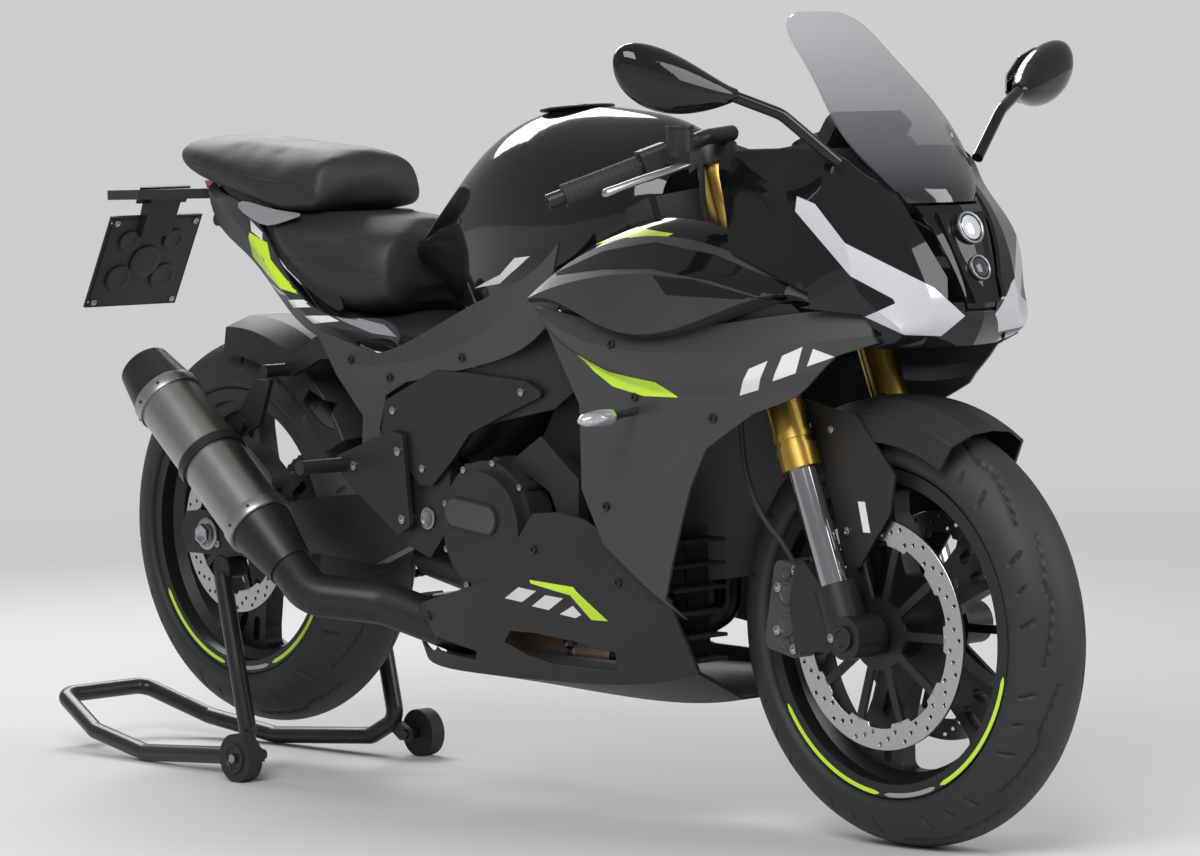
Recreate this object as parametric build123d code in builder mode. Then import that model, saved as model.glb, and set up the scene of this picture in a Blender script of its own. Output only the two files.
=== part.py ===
"""Sport bike on its rear paddock stand, in millimetres.

x runs forward, y to the rider's left and z up; the floor is z = 0.
"""

import os
from math import asin, atan2, cos, hypot, pi, radians, sin

from build123d import *

os.makedirs("parts", exist_ok=True)

# --- wheels and stance --------------------------------------------------------
front_axle_x = 810
wheelbase = 1420
rear_axle_x = front_axle_x - wheelbase
front_tyre_radius = 300
front_tyre_width = 120
rear_tyre_radius = 312
rear_tyre_width = 160
rear_lift = 68
front_axle_z = front_tyre_radius
rear_axle_z = rear_tyre_radius + rear_lift
bead_radius = 216
rim_lip = 12
rim_wall = 7
tyre_wall = 10
tyre_gap = 0.4

hub_radius = 38
front_hub_width = 110
rear_hub_width = 120
front_spoke_thickness = 30
rear_spoke_thickness = 34
spokes = 5
window_corner = 14
window_outline = [
    (74, -17), (110, -42), (150, -62), (180, -72), (196, -30), (196, 30), (180, 72), (150, 62),
    (110, 42), (74, 17),
]
slot_reach = 170
slot_length = 40
slot_width = 15

axle_radius = 12
axle_gap = 0.05
running_gap = 6

# --- discs --------------------------------------------------------------------
front_disc_radius = 160
front_disc_inner = 124
front_disc_y = 64
disc_thickness = 5
rear_disc_radius = 130
rear_disc_inner = 96
rear_disc_y = 78
carrier_thickness = 6

# --- steering and fork --------------------------------------------------------
rake = 20.5
leg_x = 794
leg_spacing = 105
clamp_offset = 32
foot_radius = 30
slider_radius = 20.5
outer_radius = 27.5
foot_top = 72
outer_bottom = 240
fork_top = 724
lower_clamp_height = 470
upper_clamp_height = 686
clamp_thickness = 26
stem_radius = 14
head_tube_radius = 30
fork = Plane(
    origin=(leg_x, 0, front_axle_z),
    x_dir=(cos(radians(rake)), 0, sin(radians(rake))),
    z_dir=(-sin(radians(rake)), 0, cos(radians(rake))),
)

# --- rear end -----------------------------------------------------------------
pivot_x = -40
pivot_z = 430
arm_inner_y = 108
arm_thickness = 26
chain_y = 95
chain_width = 14
chain_pitch = 15.875
rear_teeth = 44
front_teeth = 15
roller_half_height = 6.5
output_x = 55
output_z = 425

# --- exhaust ------------------------------------------------------------------
can_radius = 54
can_y = -215
band_width = 22
pipe_radius = 33
cone_length = 90

# --- panels -------------------------------------------------------------------
panel_wall = 4
screen_wall = 4

# --- stand --------------------------------------------------------------------
stand_tube_radius = 14
stand_y = 150
stand_wheel_radius = 38
stand_wheel_width = 26
stand_wheel_x = -476
stand_handle_x = -1096


def save(piece, name):
    piece.label = name
    export_step(piece, f"parts/{name}.step")


def tube(points, radius, bend):
    """Round bar through the points, with its corners bent to one radius."""
    with BuildPart() as bar:
        with BuildLine() as path:
            if len(points) == 2:
                Line(*points)
            else:
                FilletPolyline(*points, radius=bend)
        with BuildSketch(Plane(path.line @ 0, z_dir=path.line % 0)):
            Circle(radius)
        sweep()
    return bar.part


def plate(plane, corners, depth, rounding=0):
    """Flat plate with rounded corners, its depth centred on the plane."""
    with BuildPart() as flat:
        with BuildSketch(plane):
            Polygon(*corners, align=None)
            if rounding:
                fillet(vertices(), rounding)
        extrude(amount=depth / 2, both=True)
    return flat.part


def drum(centre, radius, width, bore=0):
    """Cylinder on a cross axis, its width centred on the given point."""
    with BuildPart() as disc:
        with BuildSketch(Plane(origin=centre, x_dir=(1, 0, 0), z_dir=(0, -1, 0))):
            Circle(radius)
            if bore:
                Circle(bore, mode=Mode.SUBTRACT)
        extrude(amount=width / 2, both=True)
    return disc.part


def both_sides(piece):
    return [piece, mirror(piece, about=Plane.XZ)]


def skin(sections, wall):
    """Thin panel lofted along x: each row is x and the outer (y, z) points, top to bottom."""
    with BuildPart() as shell:
        for station, *outer in sections:
            inner = [(y - wall, z) for y, z in reversed(outer)]
            with BuildSketch(Plane.YZ.offset(station)):
                Polygon(*outer, *inner, align=None)
        loft()
    return shell.part


def side_prism(corners, inside=20, outside=400):
    """Prism across the left half of the bike, from its side outline in (x, z)."""
    with BuildPart() as prism:
        with BuildSketch(Plane.XZ.offset(-inside)):
            Polygon(*corners, align=None)
        extrude(amount=inside - outside)
    return prism.part


# --- wheels -------------------------------------------------------------------
def tyre(axle, radius, width):
    """Hollow tyre: crown arc, two side walls and the beads on the rim's seats."""
    half = width / 2
    shoulder = radius - 0.17 * width * 2
    bead = half - 14
    with BuildPart() as casing:
        with BuildSketch(Plane(origin=axle, x_dir=(0, 1, 0), z_dir=(1, 0, 0))):
            with BuildLine():
                ThreePointArc((-half, shoulder - 14), (0, radius), (half, shoulder - 14))
                ThreePointArc(
                    (half, shoulder - 14), (half - 1, shoulder - 22), (bead, bead_radius + 14)
                )
                Polyline(
                    (bead, bead_radius + 14),
                    (bead, bead_radius + tyre_gap),
                    (bead - tyre_wall, bead_radius + tyre_gap),
                    (bead - tyre_wall, bead_radius + 10),
                )
                Line(
                    (bead - tyre_wall, bead_radius + 10),
                    (half - tyre_wall, shoulder - 20),
                )
                ThreePointArc(
                    (half - tyre_wall, shoulder - 20),
                    (0, radius - tyre_wall),
                    (tyre_wall - half, shoulder - 20),
                )
                Line(
                    (tyre_wall - half, shoulder - 20),
                    (tyre_wall - bead, bead_radius + 10),
                )
                Polyline(
                    (tyre_wall - bead, bead_radius + 10),
                    (tyre_wall - bead, bead_radius + tyre_gap),
                    (-bead, bead_radius + tyre_gap),
                    (-bead, bead_radius + 14),
                )
                ThreePointArc(
                    (-bead, bead_radius + 14), (1 - half, shoulder - 22), (-half, shoulder - 14)
                )
            make_face()
        revolve(axis=Axis(axle, (0, 1, 0)))
    return casing.part


with BuildSketch() as window:
    Polygon(*window_outline, align=None)
    fillet(vertices(), window_corner)


def rim(axle, tyre_width, spoke_thickness, hub_width):
    """Cast wheel: barrel with lips, hub, and pairs of tapered spokes."""
    bead = tyre_width / 2 - 14
    lip = bead + 6
    barrel = bead_radius - rim_wall
    with BuildPart() as wheel:
        with BuildSketch(Plane(origin=axle, x_dir=(0, 1, 0), z_dir=(1, 0, 0))):
            Polygon(
                (lip, barrel),
                (lip, bead_radius + rim_lip),
                (bead + 0.4, bead_radius + rim_lip),
                (bead + 0.4, bead_radius),
                (bead - 16, bead_radius),
                (bead - 24, bead_radius - 14),
                (24 - bead, bead_radius - 14),
                (16 - bead, bead_radius),
                (-bead - 0.4, bead_radius),
                (-bead - 0.4, bead_radius + rim_lip),
                (-lip, bead_radius + rim_lip),
                (-lip, barrel),
                (18 - bead, barrel),
                (30 - bead, barrel - 14),
                (bead - 30, barrel - 14),
                (bead - 18, barrel),
                align=None,
            )
        revolve(axis=Axis(axle, (0, 1, 0)))
        side = Plane(origin=axle, x_dir=(1, 0, 0), z_dir=(0, -1, 0))
        with BuildSketch(side):
            Circle(hub_radius)
        extrude(amount=hub_width / 2, both=True)
        with BuildSketch(side):
            Circle(barrel - 6)
            with PolarLocations(0, spokes):
                add(window.sketch, mode=Mode.SUBTRACT)
            with PolarLocations(0, spokes, start_angle=180 / spokes):
                for spot in (-9, 9):
                    with Locations(Location((slot_reach, 0, 0), (0, 0, spot))):
                        with Locations((0, 2 * spot)):
                            SlotOverall(slot_length, slot_width, mode=Mode.SUBTRACT)
                with Locations((slot_reach - 62, 0)):
                    SlotOverall(slot_length, slot_width, mode=Mode.SUBTRACT)
        extrude(amount=spoke_thickness / 2, both=True)
        with BuildSketch(side):
            Circle(axle_radius + axle_gap)
        extrude(amount=hub_width, both=True, mode=Mode.SUBTRACT)
    return wheel.part


front_axle = (front_axle_x, 0, front_axle_z)
rear_axle = (rear_axle_x, 0, rear_axle_z)
save(tyre(front_axle, front_tyre_radius, front_tyre_width), "front_tyre")
save(tyre(rear_axle, rear_tyre_radius, rear_tyre_width), "rear_tyre")


# --- discs --------------------------------------------------------------------
def disc(axle, y, outer, inner):
    """Brake disc ring on its axle."""
    return drum((axle[0], y, axle[2]), outer, disc_thickness, inner)


def carrier(axle, y, radius, arms):
    """Star that carries a disc ring, one arm to each float pin."""
    with BuildPart() as star:
        with BuildSketch(Plane(origin=(axle[0], y, axle[2]), x_dir=(1, 0, 0), z_dir=(0, -1, 0))):
            Circle(hub_radius + 12)
            with PolarLocations(0, arms):
                with Locations((radius / 2, 0)):
                    Rectangle(radius + 4, 12)
            Circle(radius, mode=Mode.INTERSECT)
            Circle(hub_radius + 0.3, mode=Mode.SUBTRACT)
        extrude(amount=carrier_thickness / 2, both=True)
    return star.part


with BuildPart() as front_discs:
    for side in (-1, 1):
        add(disc(front_axle, side * front_disc_y, front_disc_radius, front_disc_inner))
save(front_discs.part, "front_discs")

with BuildPart() as rear_disc:
    add(disc(rear_axle, -rear_disc_y, rear_disc_radius, rear_disc_inner))
save(rear_disc.part, "rear_disc")

with BuildPart() as front_wheel:
    add(rim(front_axle, front_tyre_width, front_spoke_thickness, front_hub_width))
    for side in (-1, 1):
        add(carrier(front_axle, side * front_disc_y, front_disc_inner, 10))
        add(drum((front_axle_x, side * 60, front_axle_z), hub_radius + 0.3, 14, axle_radius + axle_gap))
save(front_wheel.part, "front_rim")

with BuildPart() as rear_wheel:
    add(rim(rear_axle, rear_tyre_width, rear_spoke_thickness, rear_hub_width))
    add(carrier(rear_axle, -rear_disc_y, rear_disc_inner, 5))
    add(drum((rear_axle_x, -70, rear_axle_z), hub_radius + 0.3, 22, axle_radius + axle_gap))
save(rear_wheel.part, "rear_rim")

# --- fork and steering --------------------------------------------------------
with BuildPart() as fork_outers:
    for side in (-1, 1):
        for bottom, top, radius in (
            (outer_bottom, fork_top, outer_radius - 1.5),
            (outer_bottom, outer_bottom + 34, outer_radius + 1.5),
            (outer_bottom + 42, outer_bottom + 52, outer_radius + 1),
            (lower_clamp_height - 6, fork_top, outer_radius),
        ):
            with BuildSketch(fork.offset(bottom)):
                with Locations((0, side * leg_spacing)):
                    Circle(radius)
            extrude(amount=top - bottom)
        with BuildSketch(fork.offset(outer_bottom)):
            with Locations((0, side * leg_spacing)):
                Circle(slider_radius)
        extrude(amount=fork_top - outer_bottom, mode=Mode.SUBTRACT)
save(fork_outers.part, "fork_outers")

with BuildPart() as fork_sliders:
    for side in (-1, 1):
        with BuildSketch(fork.offset(foot_top)):
            with Locations((0, side * leg_spacing)):
                Circle(slider_radius)
        extrude(amount=fork_top - foot_top - 40)
save(fork_sliders.part, "fork_sliders")

axle_height = (leg_x - front_axle_x) * sin(radians(rake))
caliper_lug_y = 109.5
caliper_lug_half = 7.5
caliper_lug = [(700, 272), (690, 340), (702, 392), (722, 398), (748, 372), (800, 318), (770, 278)]
with BuildPart() as fork_feet:
    for side in (-1, 1):
        with BuildSketch(fork.offset(axle_height)):
            with Locations((0, side * leg_spacing)):
                Circle(foot_radius)
        extrude(amount=foot_top - axle_height)
        with BuildSketch(
            Plane(
                origin=(front_axle_x, side * leg_spacing, front_axle_z),
                x_dir=(1, 0, 0),
                z_dir=(0, -1, 0),
            )
        ):
            Circle(foot_radius)
        extrude(amount=foot_radius - 2, both=True)
        with BuildSketch(Plane.XZ.offset(-side * caliper_lug_y)):
            Polygon(*caliper_lug, align=None)
        extrude(amount=caliper_lug_half, both=True)
        with BuildSketch(fork.offset(foot_top)):
            with Locations((0, side * leg_spacing)):
                Circle(slider_radius)
        extrude(amount=fork_top, mode=Mode.SUBTRACT)
    add(drum((front_axle_x, 0, front_axle_z), axle_radius, 2 * leg_spacing + 60))
save(fork_feet.part, "fork_feet")

with BuildPart() as triple_clamps:
    for height in (lower_clamp_height, upper_clamp_height):
        with BuildSketch(fork.offset(height)):
            Polygon(
                (34, leg_spacing), (-34, leg_spacing), (-clamp_offset - 26, 30),
                (-clamp_offset - 26, -30), (-34, -leg_spacing), (34, -leg_spacing),
                (0, -30), (0, 30),
                align=None,
            )
            with Locations((0, leg_spacing), (0, -leg_spacing)):
                Circle(outer_radius + 10)
            with Locations((0, leg_spacing), (0, -leg_spacing)):
                Circle(outer_radius, mode=Mode.SUBTRACT)
        extrude(amount=clamp_thickness)
    with BuildSketch(fork.offset(lower_clamp_height)):
        with Locations((-clamp_offset, 0)):
            Circle(stem_radius)
    extrude(amount=upper_clamp_height - lower_clamp_height)
save(triple_clamps.part, "triple_clamps")

bar_radius = 11
bar_bore_radius = 7
bar_bore_depth = 30
grip_points = {
    "root": (588, 105, 990),
    "rise": (606, 175, 985),
    "inner": (572, 250, 950),
    "end": (500, 372, 902),
}
with BuildPart() as handlebars:
    for side in (-1, 1):
        points = [Vector(x, side * y, z) for x, y, z in grip_points.values()]
        add(tube(points, bar_radius, 30))
        outward = (points[-1] - points[-2]).normalized()
        with BuildSketch(Plane(points[-1], z_dir=outward)):
            Circle(bar_bore_radius)
        extrude(amount=-bar_bore_depth, mode=Mode.SUBTRACT)
        with BuildSketch(fork.offset(upper_clamp_height + clamp_thickness)):
            with Locations((0, side * leg_spacing)):
                Circle(outer_radius + 8)
                Circle(outer_radius, mode=Mode.SUBTRACT)
        extrude(amount=fork_top - upper_clamp_height - clamp_thickness)
    add(fork_outers.part, mode=Mode.SUBTRACT)
save(handlebars.part, "handlebars")

with BuildPart() as grips:
    for side in (-1, 1):
        inner = Vector(grip_points["inner"][0], side * grip_points["inner"][1], grip_points["inner"][2])
        end = Vector(grip_points["end"][0], side * grip_points["end"][1], grip_points["end"][2])
        along = (end - inner).normalized()
        with BuildSketch(Plane(inner + along * 14, z_dir=along)):
            Circle(16.5)
            Circle(11.1, mode=Mode.SUBTRACT)
        extrude(amount=112)
save(grips.part, "grips")

with BuildPart() as controls:
    for side in (-1, 1):
        inner = Vector(grip_points["inner"][0], side * grip_points["inner"][1], grip_points["inner"][2])
        end = Vector(grip_points["end"][0], side * grip_points["end"][1], grip_points["end"][2])
        along = (end - inner).normalized()
        with BuildSketch(Plane(inner - along * 28, z_dir=along)):
            RectangleRounded(46, 44, 10)
            Circle(11.1, mode=Mode.SUBTRACT)
        extrude(amount=38)
    with BuildSketch(Plane.XY.offset(958)):
        with Locations((622, -236)):
            Circle(19)
    extrude(amount=38)
    with BuildSketch(Plane.XY.offset(950)):
        with Locations((620, -238)):
            Rectangle(70, 24)
    extrude(amount=16)
    with BuildSketch(Plane.XY.offset(952)):
        with Locations((620, 236)):
            Rectangle(62, 20)
    extrude(amount=14)
    add(handlebars.part, mode=Mode.SUBTRACT)
save(controls.part, "controls")

lever_outline = [(606, 215), (650, 225), (640, 260), (585, 352), (572, 350), (610, 262)]
lever_height = 944
lever_thickness = 9
levers = []
for side in (-1, 1):
    levers.append(
        plate(
            Plane(origin=(0, 0, lever_height), x_dir=(1, 0, 0), z_dir=(0.12, -0.22 * side, 1)),
            [(x, side * y) for x, y in lever_outline],
            lever_thickness,
        )
    )
with BuildPart() as lever_pair:
    add(levers)
    add(controls.part, mode=Mode.SUBTRACT)
save(lever_pair.part, "levers")


def fender_arc(inner, outer_width, start, end):
    """Curved guard over the front tyre, from one angle to the other about the axle."""
    with BuildPart() as guard:
        with BuildSketch(Plane(origin=front_axle, x_dir=(0, 1, 0), z_dir=(1, 0, 0))):
            with BuildLine():
                arch = Polyline(
                    (-outer_width, inner - 46),
                    (-outer_width + 4, inner - 10),
                    (-outer_width * 0.5, inner + 8),
                    (0, inner + 12),
                    (outer_width * 0.5, inner + 8),
                    (outer_width - 4, inner - 10),
                    (outer_width, inner - 46),
                )
                offset(arch, amount=panel_wall, side=Side.LEFT, closed=True)
            make_face()
        revolve(axis=Axis(front_axle, (0, 1, 0)), revolution_arc=end - start)
    return guard.part.rotate(Axis(front_axle, (0, 1, 0)), 90 - end)


fork_guard = plate(
    Plane.XZ,
    [(690, 620), (790, 600), (862, 520), (850, 470), (790, 392), (760, 392), (742, 470)],
    4,
)
with BuildPart() as front_fender:
    add(fender_arc(front_tyre_radius + 10, 72, 60, 118))
    for side in (-1, 1):
        add(fork_guard.moved(Location((0, side * 76, 0))))
save(front_fender.part, "front_fender")


def caliper(axle, centre_y, disc_y, disc_radius, radius, angle, reach, length, width):
    """Caliper body over a disc's edge, slotted for the ring."""
    with BuildPart() as body:
        with BuildSketch(Plane(origin=(axle[0], centre_y, axle[2]), x_dir=(1, 0, 0), z_dir=(0, -1, 0))):
            with PolarLocations(radius, 1, start_angle=angle):
                RectangleRounded(reach, length, 14)
        extrude(amount=width / 2, both=True)
        with BuildSketch(Plane(origin=(axle[0], disc_y, axle[2]), x_dir=(1, 0, 0), z_dir=(0, -1, 0))):
            Circle(disc_radius + running_gap)
        extrude(amount=disc_thickness / 2 + running_gap, both=True, mode=Mode.SUBTRACT)
    return body.part


with BuildPart() as front_calipers:
    for side in (-1, 1):
        add(
            caliper(
                front_axle, side * 72, side * front_disc_y, front_disc_radius, 142, 168, 72, 128, 60
            )
        )
save(front_calipers.part, "front_calipers")

hose_radius = 4
hose_route = [
    (561, -138.5, 948), (567, -146, 900), (588, -150, 840), (608, -151, 760), (628, -146, 690),
    (620, -134, 610), (608, -120, 545), (613, -112, 492), (636, -106, 448), (664, -94, 416),
    (677, -86, 380),
]
with BuildPart() as brake_hose:
    add(tube(hose_route, hose_radius, 20))
    add(front_calipers.part, mode=Mode.SUBTRACT)
    add(triple_clamps.part, mode=Mode.SUBTRACT)
save(brake_hose.part, "brake_hose")

# --- frame and engine ---------------------------------------------------------
clamp_gap = 4
head = fork.offset(lower_clamp_height + clamp_thickness + clamp_gap)
head_height = upper_clamp_height - lower_clamp_height - clamp_thickness - 2 * clamp_gap
# main spar, seen from the side: head gusset, over the engine, down to the pivot
spar_corners = [
    (478, 846), (430, 830), (250, 720), (60, 690), (-60, 640), (-95, 520), (-100, 390),
    (-40, 370), (8, 420), (16, 560), (250, 600), (400, 690), (470, 744), (512, 757),
]
spar_inner_y = arm_inner_y + arm_thickness + 3
spar_thickness = 14
spar_outer_y = spar_inner_y + spar_thickness
gusset_front = -clamp_offset - 66
gusset_left = [
    (-clamp_offset - 8, 26), (gusset_front, spar_inner_y), (gusset_front, spar_outer_y),
    (gusset_front - 52, spar_outer_y), (gusset_front - 52, spar_inner_y - 24),
    (-clamp_offset - 26, 14),
]
gusset = gusset_left + [(x, -y) for x, y in reversed(gusset_left)]
pivot_shaft_radius = 12
stand_pivot = (-150, 124, 300)
stand_pin_radius = 6
with BuildPart() as frame:
    for side in (-1, 1):
        centre_y = side * (spar_inner_y + spar_thickness / 2)
        add(plate(Plane.XZ.offset(-centre_y), spar_corners, spar_thickness))
    with BuildSketch(Plane.XZ):
        Polygon((70, 690), (0, 665), (10, 650), (80, 672), align=None)
    extrude(amount=spar_inner_y, both=True)
    with BuildSketch(Plane.XZ):
        with Locations((pivot_x, pivot_z)):
            Circle(pivot_shaft_radius)
    extrude(amount=spar_inner_y, both=True)
    with BuildSketch(head):
        Polygon(*gusset, align=None)
        with Locations((-clamp_offset, 0)):
            Circle(head_tube_radius)
            Circle(stem_radius + axle_gap, mode=Mode.SUBTRACT)
    extrude(amount=head_height)
    add(
        plate(
            Plane.XZ.offset(-(spar_inner_y + 7)),
            [(-102, 374), (-40, 370), (-120, 282), (-172, 282), (-172, 318)],
            12,
        )
    )
    with BuildSketch(Plane(origin=(stand_pivot[0], 140, stand_pivot[2]), z_dir=(0, -1, 0))):
        Circle(6)
    extrude(amount=26)
save(frame.part, "frame")

crankcase_half = 132
with BuildPart() as engine_block:
    with BuildSketch(Plane.XZ):
        Polygon(
            (10, 470), (10, 320), (60, 268), (260, 268), (330, 330), (390, 560), (330, 640),
            (190, 620), (120, 520), (60, 520),
            align=None,
        )
    extrude(amount=80, both=True)
    with BuildSketch(Plane.XZ.offset(80)):
        Polygon((40, 440), (20, 320), (80, 270), (250, 270), (290, 340), (250, 450), align=None)
    extrude(amount=crankcase_half - 80)
    with BuildSketch(Plane.XZ.offset(-80)):
        Polygon((120, 440), (120, 270), (250, 270), (290, 340), (250, 450), align=None)
    extrude(amount=80 - crankcase_half)
save(engine_block.part, "engine_block")

clutch_at = (123, 423)
clutch_radius = 100
clutch_depth = 44
clutch_cap_radius = 84
clutch_cap_depth = 14
clutch_bosses = 9
pad_length = 118
pad_height = 46
pad_depth = 3
dynamo_at = (205, 370)
dynamo_radius = 74
dynamo_depth = 30
dynamo_bosses = 7
boss_step = 6
side_cover_outline = [
    (150, 520), (236, 480), (262, 430), (262, 360), (296, 372), (300, 500), (220, 560),
]
with BuildPart() as engine_covers:
    with BuildSketch(Plane.XZ.offset(crankcase_half)):
        with Locations(clutch_at):
            Circle(clutch_radius)
    extrude(amount=clutch_depth)
    with BuildSketch(Plane.XZ.offset(crankcase_half + clutch_depth)):
        with Locations(clutch_at):
            Circle(clutch_cap_radius)
    extrude(amount=clutch_cap_depth)
    with BuildSketch(Plane.XZ.offset(crankcase_half)):
        with Locations(clutch_at):
            with PolarLocations(clutch_radius - 2, clutch_bosses):
                Circle(9)
    extrude(amount=clutch_depth - boss_step)
    with BuildSketch(Plane.XZ.offset(crankcase_half + clutch_depth + clutch_cap_depth)):
        with Locations(Location((clutch_at[0] - 18, clutch_at[1] + 19, 0), (0, 0, -7))):
            SlotOverall(pad_length, pad_height)
    extrude(amount=pad_depth)
    with BuildSketch(Plane.XZ.offset(crankcase_half)):
        Polygon(*side_cover_outline, align=None)
    extrude(amount=20)
    with BuildSketch(Plane.XZ.offset(-crankcase_half)):
        with Locations(dynamo_at):
            Circle(dynamo_radius)
    extrude(amount=-dynamo_depth)
    with BuildSketch(Plane.XZ.offset(-crankcase_half)):
        with Locations(dynamo_at):
            with PolarLocations(dynamo_radius - 2, dynamo_bosses):
                Circle(8)
    extrude(amount=boss_step - dynamo_depth + 1)
save(engine_covers.part, "engine_covers")

# --- swingarm, chain drive, rear brake ----------------------------------------
arm_tip_x = rear_axle_x - 58
brace_length = 110
brace_x = rear_axle_x + rear_tyre_radius + 53 + brace_length / 2
arm_corners = [
    (pivot_x + 10, 470), (pivot_x - 55, 462), (-300, 452), (arm_tip_x + 108, 418),
    (arm_tip_x, 414), (arm_tip_x - 14, rear_axle_z), (arm_tip_x, 348), (arm_tip_x + 108, 347),
    (-330, 362), (-190, 352), (pivot_x - 55, 388), (pivot_x + 10, 395), (pivot_x + 40, 430),
]
with BuildPart() as swingarm:
    for side in (-1, 1):
        centre_y = side * (arm_inner_y + arm_thickness / 2)
        add(plate(Plane.XZ.offset(-centre_y), arm_corners, arm_thickness))
    with BuildSketch(Plane.XZ):
        with Locations((brace_x, 420)):
            RectangleRounded(brace_length, 70, 20)
    extrude(amount=arm_inner_y, both=True)
    with BuildSketch(Plane.XZ):
        with Locations((pivot_x, pivot_z)):
            Circle(pivot_shaft_radius + axle_gap)
    extrude(amount=arm_inner_y + arm_thickness, both=True, mode=Mode.SUBTRACT)
    add(drum((rear_axle_x, 0, rear_axle_z), axle_radius, 2 * arm_inner_y))
save(swingarm.part, "swingarm")

rear_sprocket_radius = chain_pitch / (2 * sin(pi / rear_teeth))
front_sprocket_radius = chain_pitch / (2 * sin(pi / front_teeth))
with BuildPart() as rear_sprocket:
    add(
        drum(
            (rear_axle_x, chain_y, rear_axle_z),
            rear_sprocket_radius - roller_half_height - 2,
            6,
            hub_radius + 0.3,
        )
    )
    with BuildSketch(
        Plane(origin=(rear_axle_x, 60, rear_axle_z), x_dir=(1, 0, 0), z_dir=(0, 1, 0))
    ):
        Circle(hub_radius)
        Circle(axle_radius + 1, mode=Mode.SUBTRACT)
    extrude(amount=chain_y + 3 - 60)
save(rear_sprocket.part, "rear_sprocket")

# the chain's pitch line is the belt round the two sprockets
span = hypot(output_x - rear_axle_x, output_z - rear_axle_z)
chain_slope = atan2(output_z - rear_axle_z, output_x - rear_axle_x)
chain_taper = asin((rear_sprocket_radius - front_sprocket_radius) / span)


def belt_face(margin):
    """Area inside the chain's pitch line, grown outwards by a margin."""
    rear = (rear_axle_x, rear_axle_z, rear_sprocket_radius + margin)
    front = (output_x, output_z, front_sprocket_radius + margin)
    upper = chain_slope + pi / 2 - chain_taper
    lower = chain_slope - pi / 2 + chain_taper

    def rim_point(circle, angle):
        return circle[0] + circle[2] * cos(angle), circle[1] + circle[2] * sin(angle)

    with BuildSketch(Plane.XZ.offset(-chain_y)) as face:
        with BuildLine():
            ThreePointArc(
                rim_point(rear, upper), rim_point(rear, chain_slope + pi), rim_point(rear, lower)
            )
            Line(rim_point(rear, lower), rim_point(front, lower))
            ThreePointArc(
                rim_point(front, lower), rim_point(front, chain_slope), rim_point(front, upper)
            )
            Line(rim_point(front, upper), rim_point(rear, upper))
        make_face()
    return face.sketch


run_length = span * cos(chain_taper)
rear_wrap = rear_sprocket_radius * (pi + 2 * chain_taper)
front_wrap = front_sprocket_radius * (pi - 2 * chain_taper)
links = round((2 * run_length + rear_wrap + front_wrap) / chain_pitch)


def chain_point(along):
    """Point on the pitch line, from the top of the rear sprocket towards the front."""
    upper = chain_slope + pi / 2 - chain_taper
    rear = (rear_axle_x, rear_axle_z, rear_sprocket_radius)
    front = (output_x, output_z, front_sprocket_radius)

    def on(circle, angle):
        return circle[0] + circle[2] * cos(angle), circle[1] + circle[2] * sin(angle)

    def between(start, end, share):
        return start[0] + (end[0] - start[0]) * share, start[1] + (end[1] - start[1]) * share

    lower = chain_slope - pi / 2 + chain_taper
    if along < run_length:
        return between(on(rear, upper), on(front, upper), along / run_length)
    along -= run_length
    if along < front_wrap:
        return on(front, upper - along / front_sprocket_radius)
    along -= front_wrap
    if along < run_length:
        return between(on(front, lower), on(rear, lower), along / run_length)
    along -= run_length
    return on(rear, lower - along / rear_sprocket_radius)


pins = [
    chain_point((2 * run_length + rear_wrap + front_wrap) * link / links) for link in range(links)
]
with BuildPart() as chain:
    extrude(belt_face(roller_half_height - 2), amount=chain_width / 2, both=True)
    with BuildSketch(Plane.XZ.offset(-chain_y)):
        with Locations(*pins):
            Circle(roller_half_height)
    extrude(amount=chain_width / 2, both=True)
    extrude(belt_face(2 - roller_half_height), amount=chain_width, both=True, mode=Mode.SUBTRACT)
    with BuildSketch(Plane.XZ.offset(-chain_y)):
        with Locations(*pins):
            Circle(roller_half_height)
    extrude(amount=chain_width / 2, both=True)
save(chain.part, "chain")

with BuildPart() as front_sprocket:
    add(
        drum(
            (output_x, chain_y, output_z),
            front_sprocket_radius - roller_half_height - 1,
            6,
        )
    )
    with BuildSketch(Plane.XZ.offset(-84)):
        with Locations((output_x, output_z)):
            Circle(14)
    extrude(amount=-20)
save(front_sprocket.part, "front_sprocket")

with BuildPart() as rear_caliper:
    add(
        caliper(rear_axle, -78, -rear_disc_y, rear_disc_radius, 118, 52, 62, 90, 40)
    )
save(rear_caliper.part, "rear_caliper")

# --- exhaust ------------------------------------------------------------------
can_low = Vector(-365, can_y, 406)
can_high = Vector(-603, can_y, 606)
can_axis = (can_high - can_low).normalized()
outlet_radius = 24
outlet_depth = 50
can_length = (can_high - can_low).length
with BuildPart() as muffler:
    for start, end, radius in (
        (band_width, can_length - band_width, can_radius - 2),
        (0, band_width, can_radius),
        (can_length - band_width, can_length, can_radius),
    ):
        with BuildSketch(Plane(can_low + can_axis * start, z_dir=can_axis)):
            Circle(radius)
        extrude(amount=end - start)
save(muffler.part, "muffler")

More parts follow.
